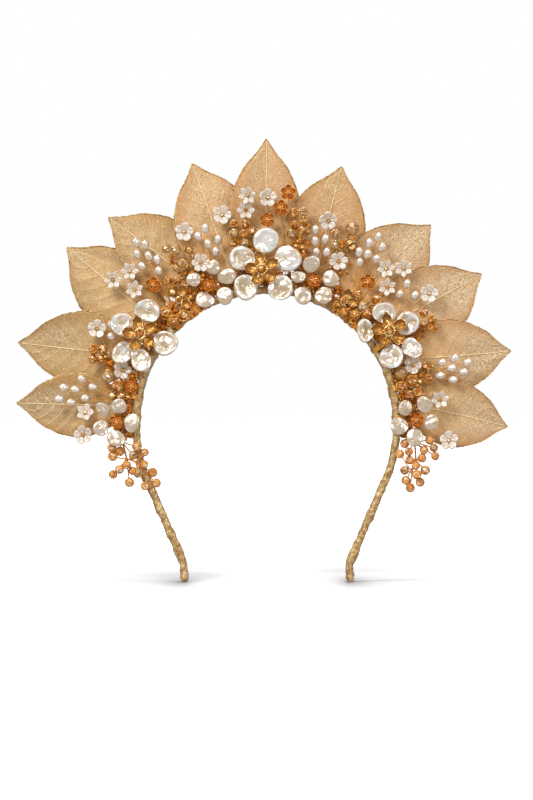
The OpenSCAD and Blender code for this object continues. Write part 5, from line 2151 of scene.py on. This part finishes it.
@dataclass
class Studio:
    """A pale sweep of floor and wall, soft lights and the camera at the photograph's angle.

    Sizes are in metres. tip_aside is how far from the middle the crown's tips stand, and the next field how
    far the shadow painted on the floor round them reaches on the inner side, on the outer side and to the
    front.
    """

    distance: float = 3.0
    view_high: float = 0.4
    sensor: float = 36.0
    level: float = 0.091
    middle: float = 0.00133
    lit: Vector = field(default_factory=lambda: Vector((0, 0, 0.12)))
    floor: float = 40.0
    tip_aside: float = 0.0415
    painted_shadow_reach: tuple = (0.018, 0.037, 0.27)

    def floor_white(self) -> bpy.types.Material:
        """A plain white floor: a glow that grows with the distance, and a soft shadow painted round the two
        tips.

        Returns:
            The material.
        """
        made = bpy.data.materials.new("floor_white")
        made.use_nodes = True
        sheet = Sheet(made.node_tree)
        skin = made.node_tree.nodes["Principled BSDF"].inputs
        skin["Roughness"].default_value = 0.9
        skin["Specular IOR Level"].default_value = 0.0
        seen = sheet.add("LightPath").outputs["Is Camera Ray"]
        at = sheet.at()
        place = sheet.add("SeparateXYZ", Vector=at).outputs
        aside = sheet.maths("ABSOLUTE", sheet.maths("SUBTRACT", place["X"], self.middle))
        off = sheet.maths("SUBTRACT", aside, self.tip_aside)
        inner, outer, front = self.painted_shadow_reach
        reach = sheet.span(off, -0.003, 0.0, inner, outer)
        near = sheet.add("CombineXYZ", X=sheet.maths("DIVIDE", off, reach),
                         Y=sheet.maths("DIVIDE", place["Y"], front))
        around = sheet.length(near.outputs[0])
        # A shadow painted round each tip: the floor darkens and its glow drops towards the tips.
        painted_tip_shadow = sheet.maths("EXPONENT", sheet.times(around, -4.0))
        glow = sheet.span(sheet.length(at), 0.25, 1.2)
        glow = sheet.plus(glow, sheet.times(sheet.maths("SUBTRACT", 1.0, painted_tip_shadow), 0.13))
        glow = sheet.plus(glow, sheet.span(around, 0.7, 1.5, 0.0, 0.15))
        pale = sheet.blend(painted_tip_shadow, (0.89, 0.92, 0.95, 1), (0.28, 0.29, 0.3, 1))
        sheet.feed(skin["Base Color"], sheet.blend(seen, (0.5, 0.47, 0.44, 1), pale))
        sheet.feed(skin["Emission Color"], sheet.blend(seen, (0, 0, 0, 1), (1, 1, 1, 1)))
        sheet.feed(skin["Emission Strength"], glow)
        return made

    def lay_floor(self) -> None:
        """Lay the floor, which isn't part of the crown."""
        bm = bmesh.new()
        bmesh.ops.create_grid(bm, x_segments=1, y_segments=1, size=self.floor)
        mesh = as_mesh(bm, "floor")
        mesh.materials.append(self.floor_white())
        show("floor", mesh)

    def hang_lamps(self) -> None:
        """Hang each soft light, facing the crown."""
        for name, place, width, depth, watts in LAMPS:
            light = bpy.data.lights.new(name, "AREA")
            light.shape = "RECTANGLE"
            light.size, light.size_y = width, depth
            light.energy = watts
            turn = (self.lit - Vector(place)).to_track_quat("-Z", "Y").to_matrix().to_4x4()
            show(name, light).matrix_world = Matrix.Translation(place) @ turn

    def pitch_tent(self) -> None:
        """Set up the world: white to the camera; for the crown a pale front and top, a brown back."""
        world = bpy.data.worlds.new("tent")
        bpy.context.scene.world = world
        world.use_nodes = True
        world.node_tree.nodes.clear()
        sheet = Sheet(world.node_tree)
        ray = sheet.add("TexCoord").outputs["Generated"]
        way = sheet.add("SeparateXYZ", Vector=ray).outputs
        high = sheet.span(way["Z"], -0.5, 0.7, 0.4, 0.95)
        light_path = sheet.add("LightPath").outputs
        for middle, low, full, power in SOFT_BOXES:
            toward = sheet.add("VectorMath", {"operation": "DOT_PRODUCT"}, Vector=ray)
            toward.inputs[1].default_value = Vector(middle).normalized()
            box = sheet.span(toward.outputs["Value"], low, full, 0.0, power)
            high = sheet.plus(high, sheet.times(box, light_path["Is Glossy Ray"]))
        colour = sheet.blend(sheet.span(way["Y"], -0.35, 0.45), (0.72, 0.72, 0.72, 1), srgb(120, 90, 62))
        tent = sheet.add("Background", Color=colour, Strength=high)
        white = sheet.add("Background", Color=(1, 1, 1, 1), Strength=1.0)
        both = sheet.add("MixShader")
        for index, value in enumerate((light_path["Is Camera Ray"], tent.outputs[0], white.outputs[0])):
            sheet.feed(both.inputs[index], value)
        sheet.add("OutputWorld", Surface=both.outputs[0])

    def set_camera(self) -> None:
        """Stand the camera level in front of the crown."""
        camera = bpy.data.cameras.new("camera")
        camera.sensor_width = self.sensor
        camera.lens = self.sensor * self.distance / self.view_high
        camera.clip_start, camera.clip_end = 0.1, 30.0
        eye = show("camera", camera)
        eye.location = (self.middle, -self.distance, self.level)
        eye.rotation_euler = (math.pi / 2, 0, 0)
        bpy.context.scene.camera = eye

    def build(self) -> None:
        """Set up the camera, the lights, the floor and the world."""
        bpy.context.scene.view_settings.view_transform = "Standard"
        self.set_camera()
        self.hang_lamps()
        self.lay_floor()
        self.pitch_tent()


def wire_up() -> None:
    """Build the wires of each stretch, and the champagne drops that hang from the two lowest."""
    drops = {side: hanging(side) for side in DROPS}
    for side, wires in drops.items():
        CutStones(f"drops_{side}", Gem.CHAMPAGNE, wires).build()
    Stems("stems_centre", (-17, 29), (5, 16), (0, 4), SHELLS["centre"], BEAD_FLOWERS[:3],
          strands(STONES["centre"] + STONES["right"][:1]), strands(SPRAYS["right"][:1])).build()
    Stems("stems_left", (-65, -18), (-56, -34), (1, 3), SHELLS["left"][:6], BEAD_FLOWERS[3:4],
          strands(STONES["left"]), strands(SPRAYS["left"] + SPRAYS["left_low"][1:]), crust=(-45, -25)).build()
    Stems("stems_left_low", (-97, -66), (-89, -80), (5,), SHELLS["left"][6:], BEAD_FLOWERS[5:],
          strands(STONES["left_low"]), strands(SPRAYS["left_low"][:1]), drops["left"], TWIGS["left"],
          -96).build()
    Stems("stems_right", (30, 65), (42, 57), (2,), SHELLS["right"][:4], BEAD_FLOWERS[4:5],
          strands(STONES["right"][1:] + STONES["right_low"][:1]), strands(SPRAYS["right"][1:]),
          crust=(30, 48)).build()
    Stems("stems_right_low", (66, 97), (76, 89), (6,), SHELLS["right"][4:], [],
          strands(STONES["right_low"][1:]), strands(SPRAYS["right_low"]), drops["right"], TWIGS["right"],
          96).build()


def main() -> None:
    """Build the crown piece by piece."""
    logging.basicConfig(level=logging.INFO, format="%(name)s: %(message)s")
    Studio().build()
    Band().build()
    Leaves().build()
    for index in range(len(FLOWERS)):
        Flower(index).build()
    for name, rows in SHELLS.items():
        ShellFlowers(name, rows).build()
    for name, rows in SPRAYS.items():
        RicePearls(name, rows).build()
    BeadFlowers().build()
    for name, rows in STONES.items():
        CutStones(f"stones_{name}", Gem.AMBER, strands(rows)).build()
    wire_up()


if __name__ == "__main__":
    main()
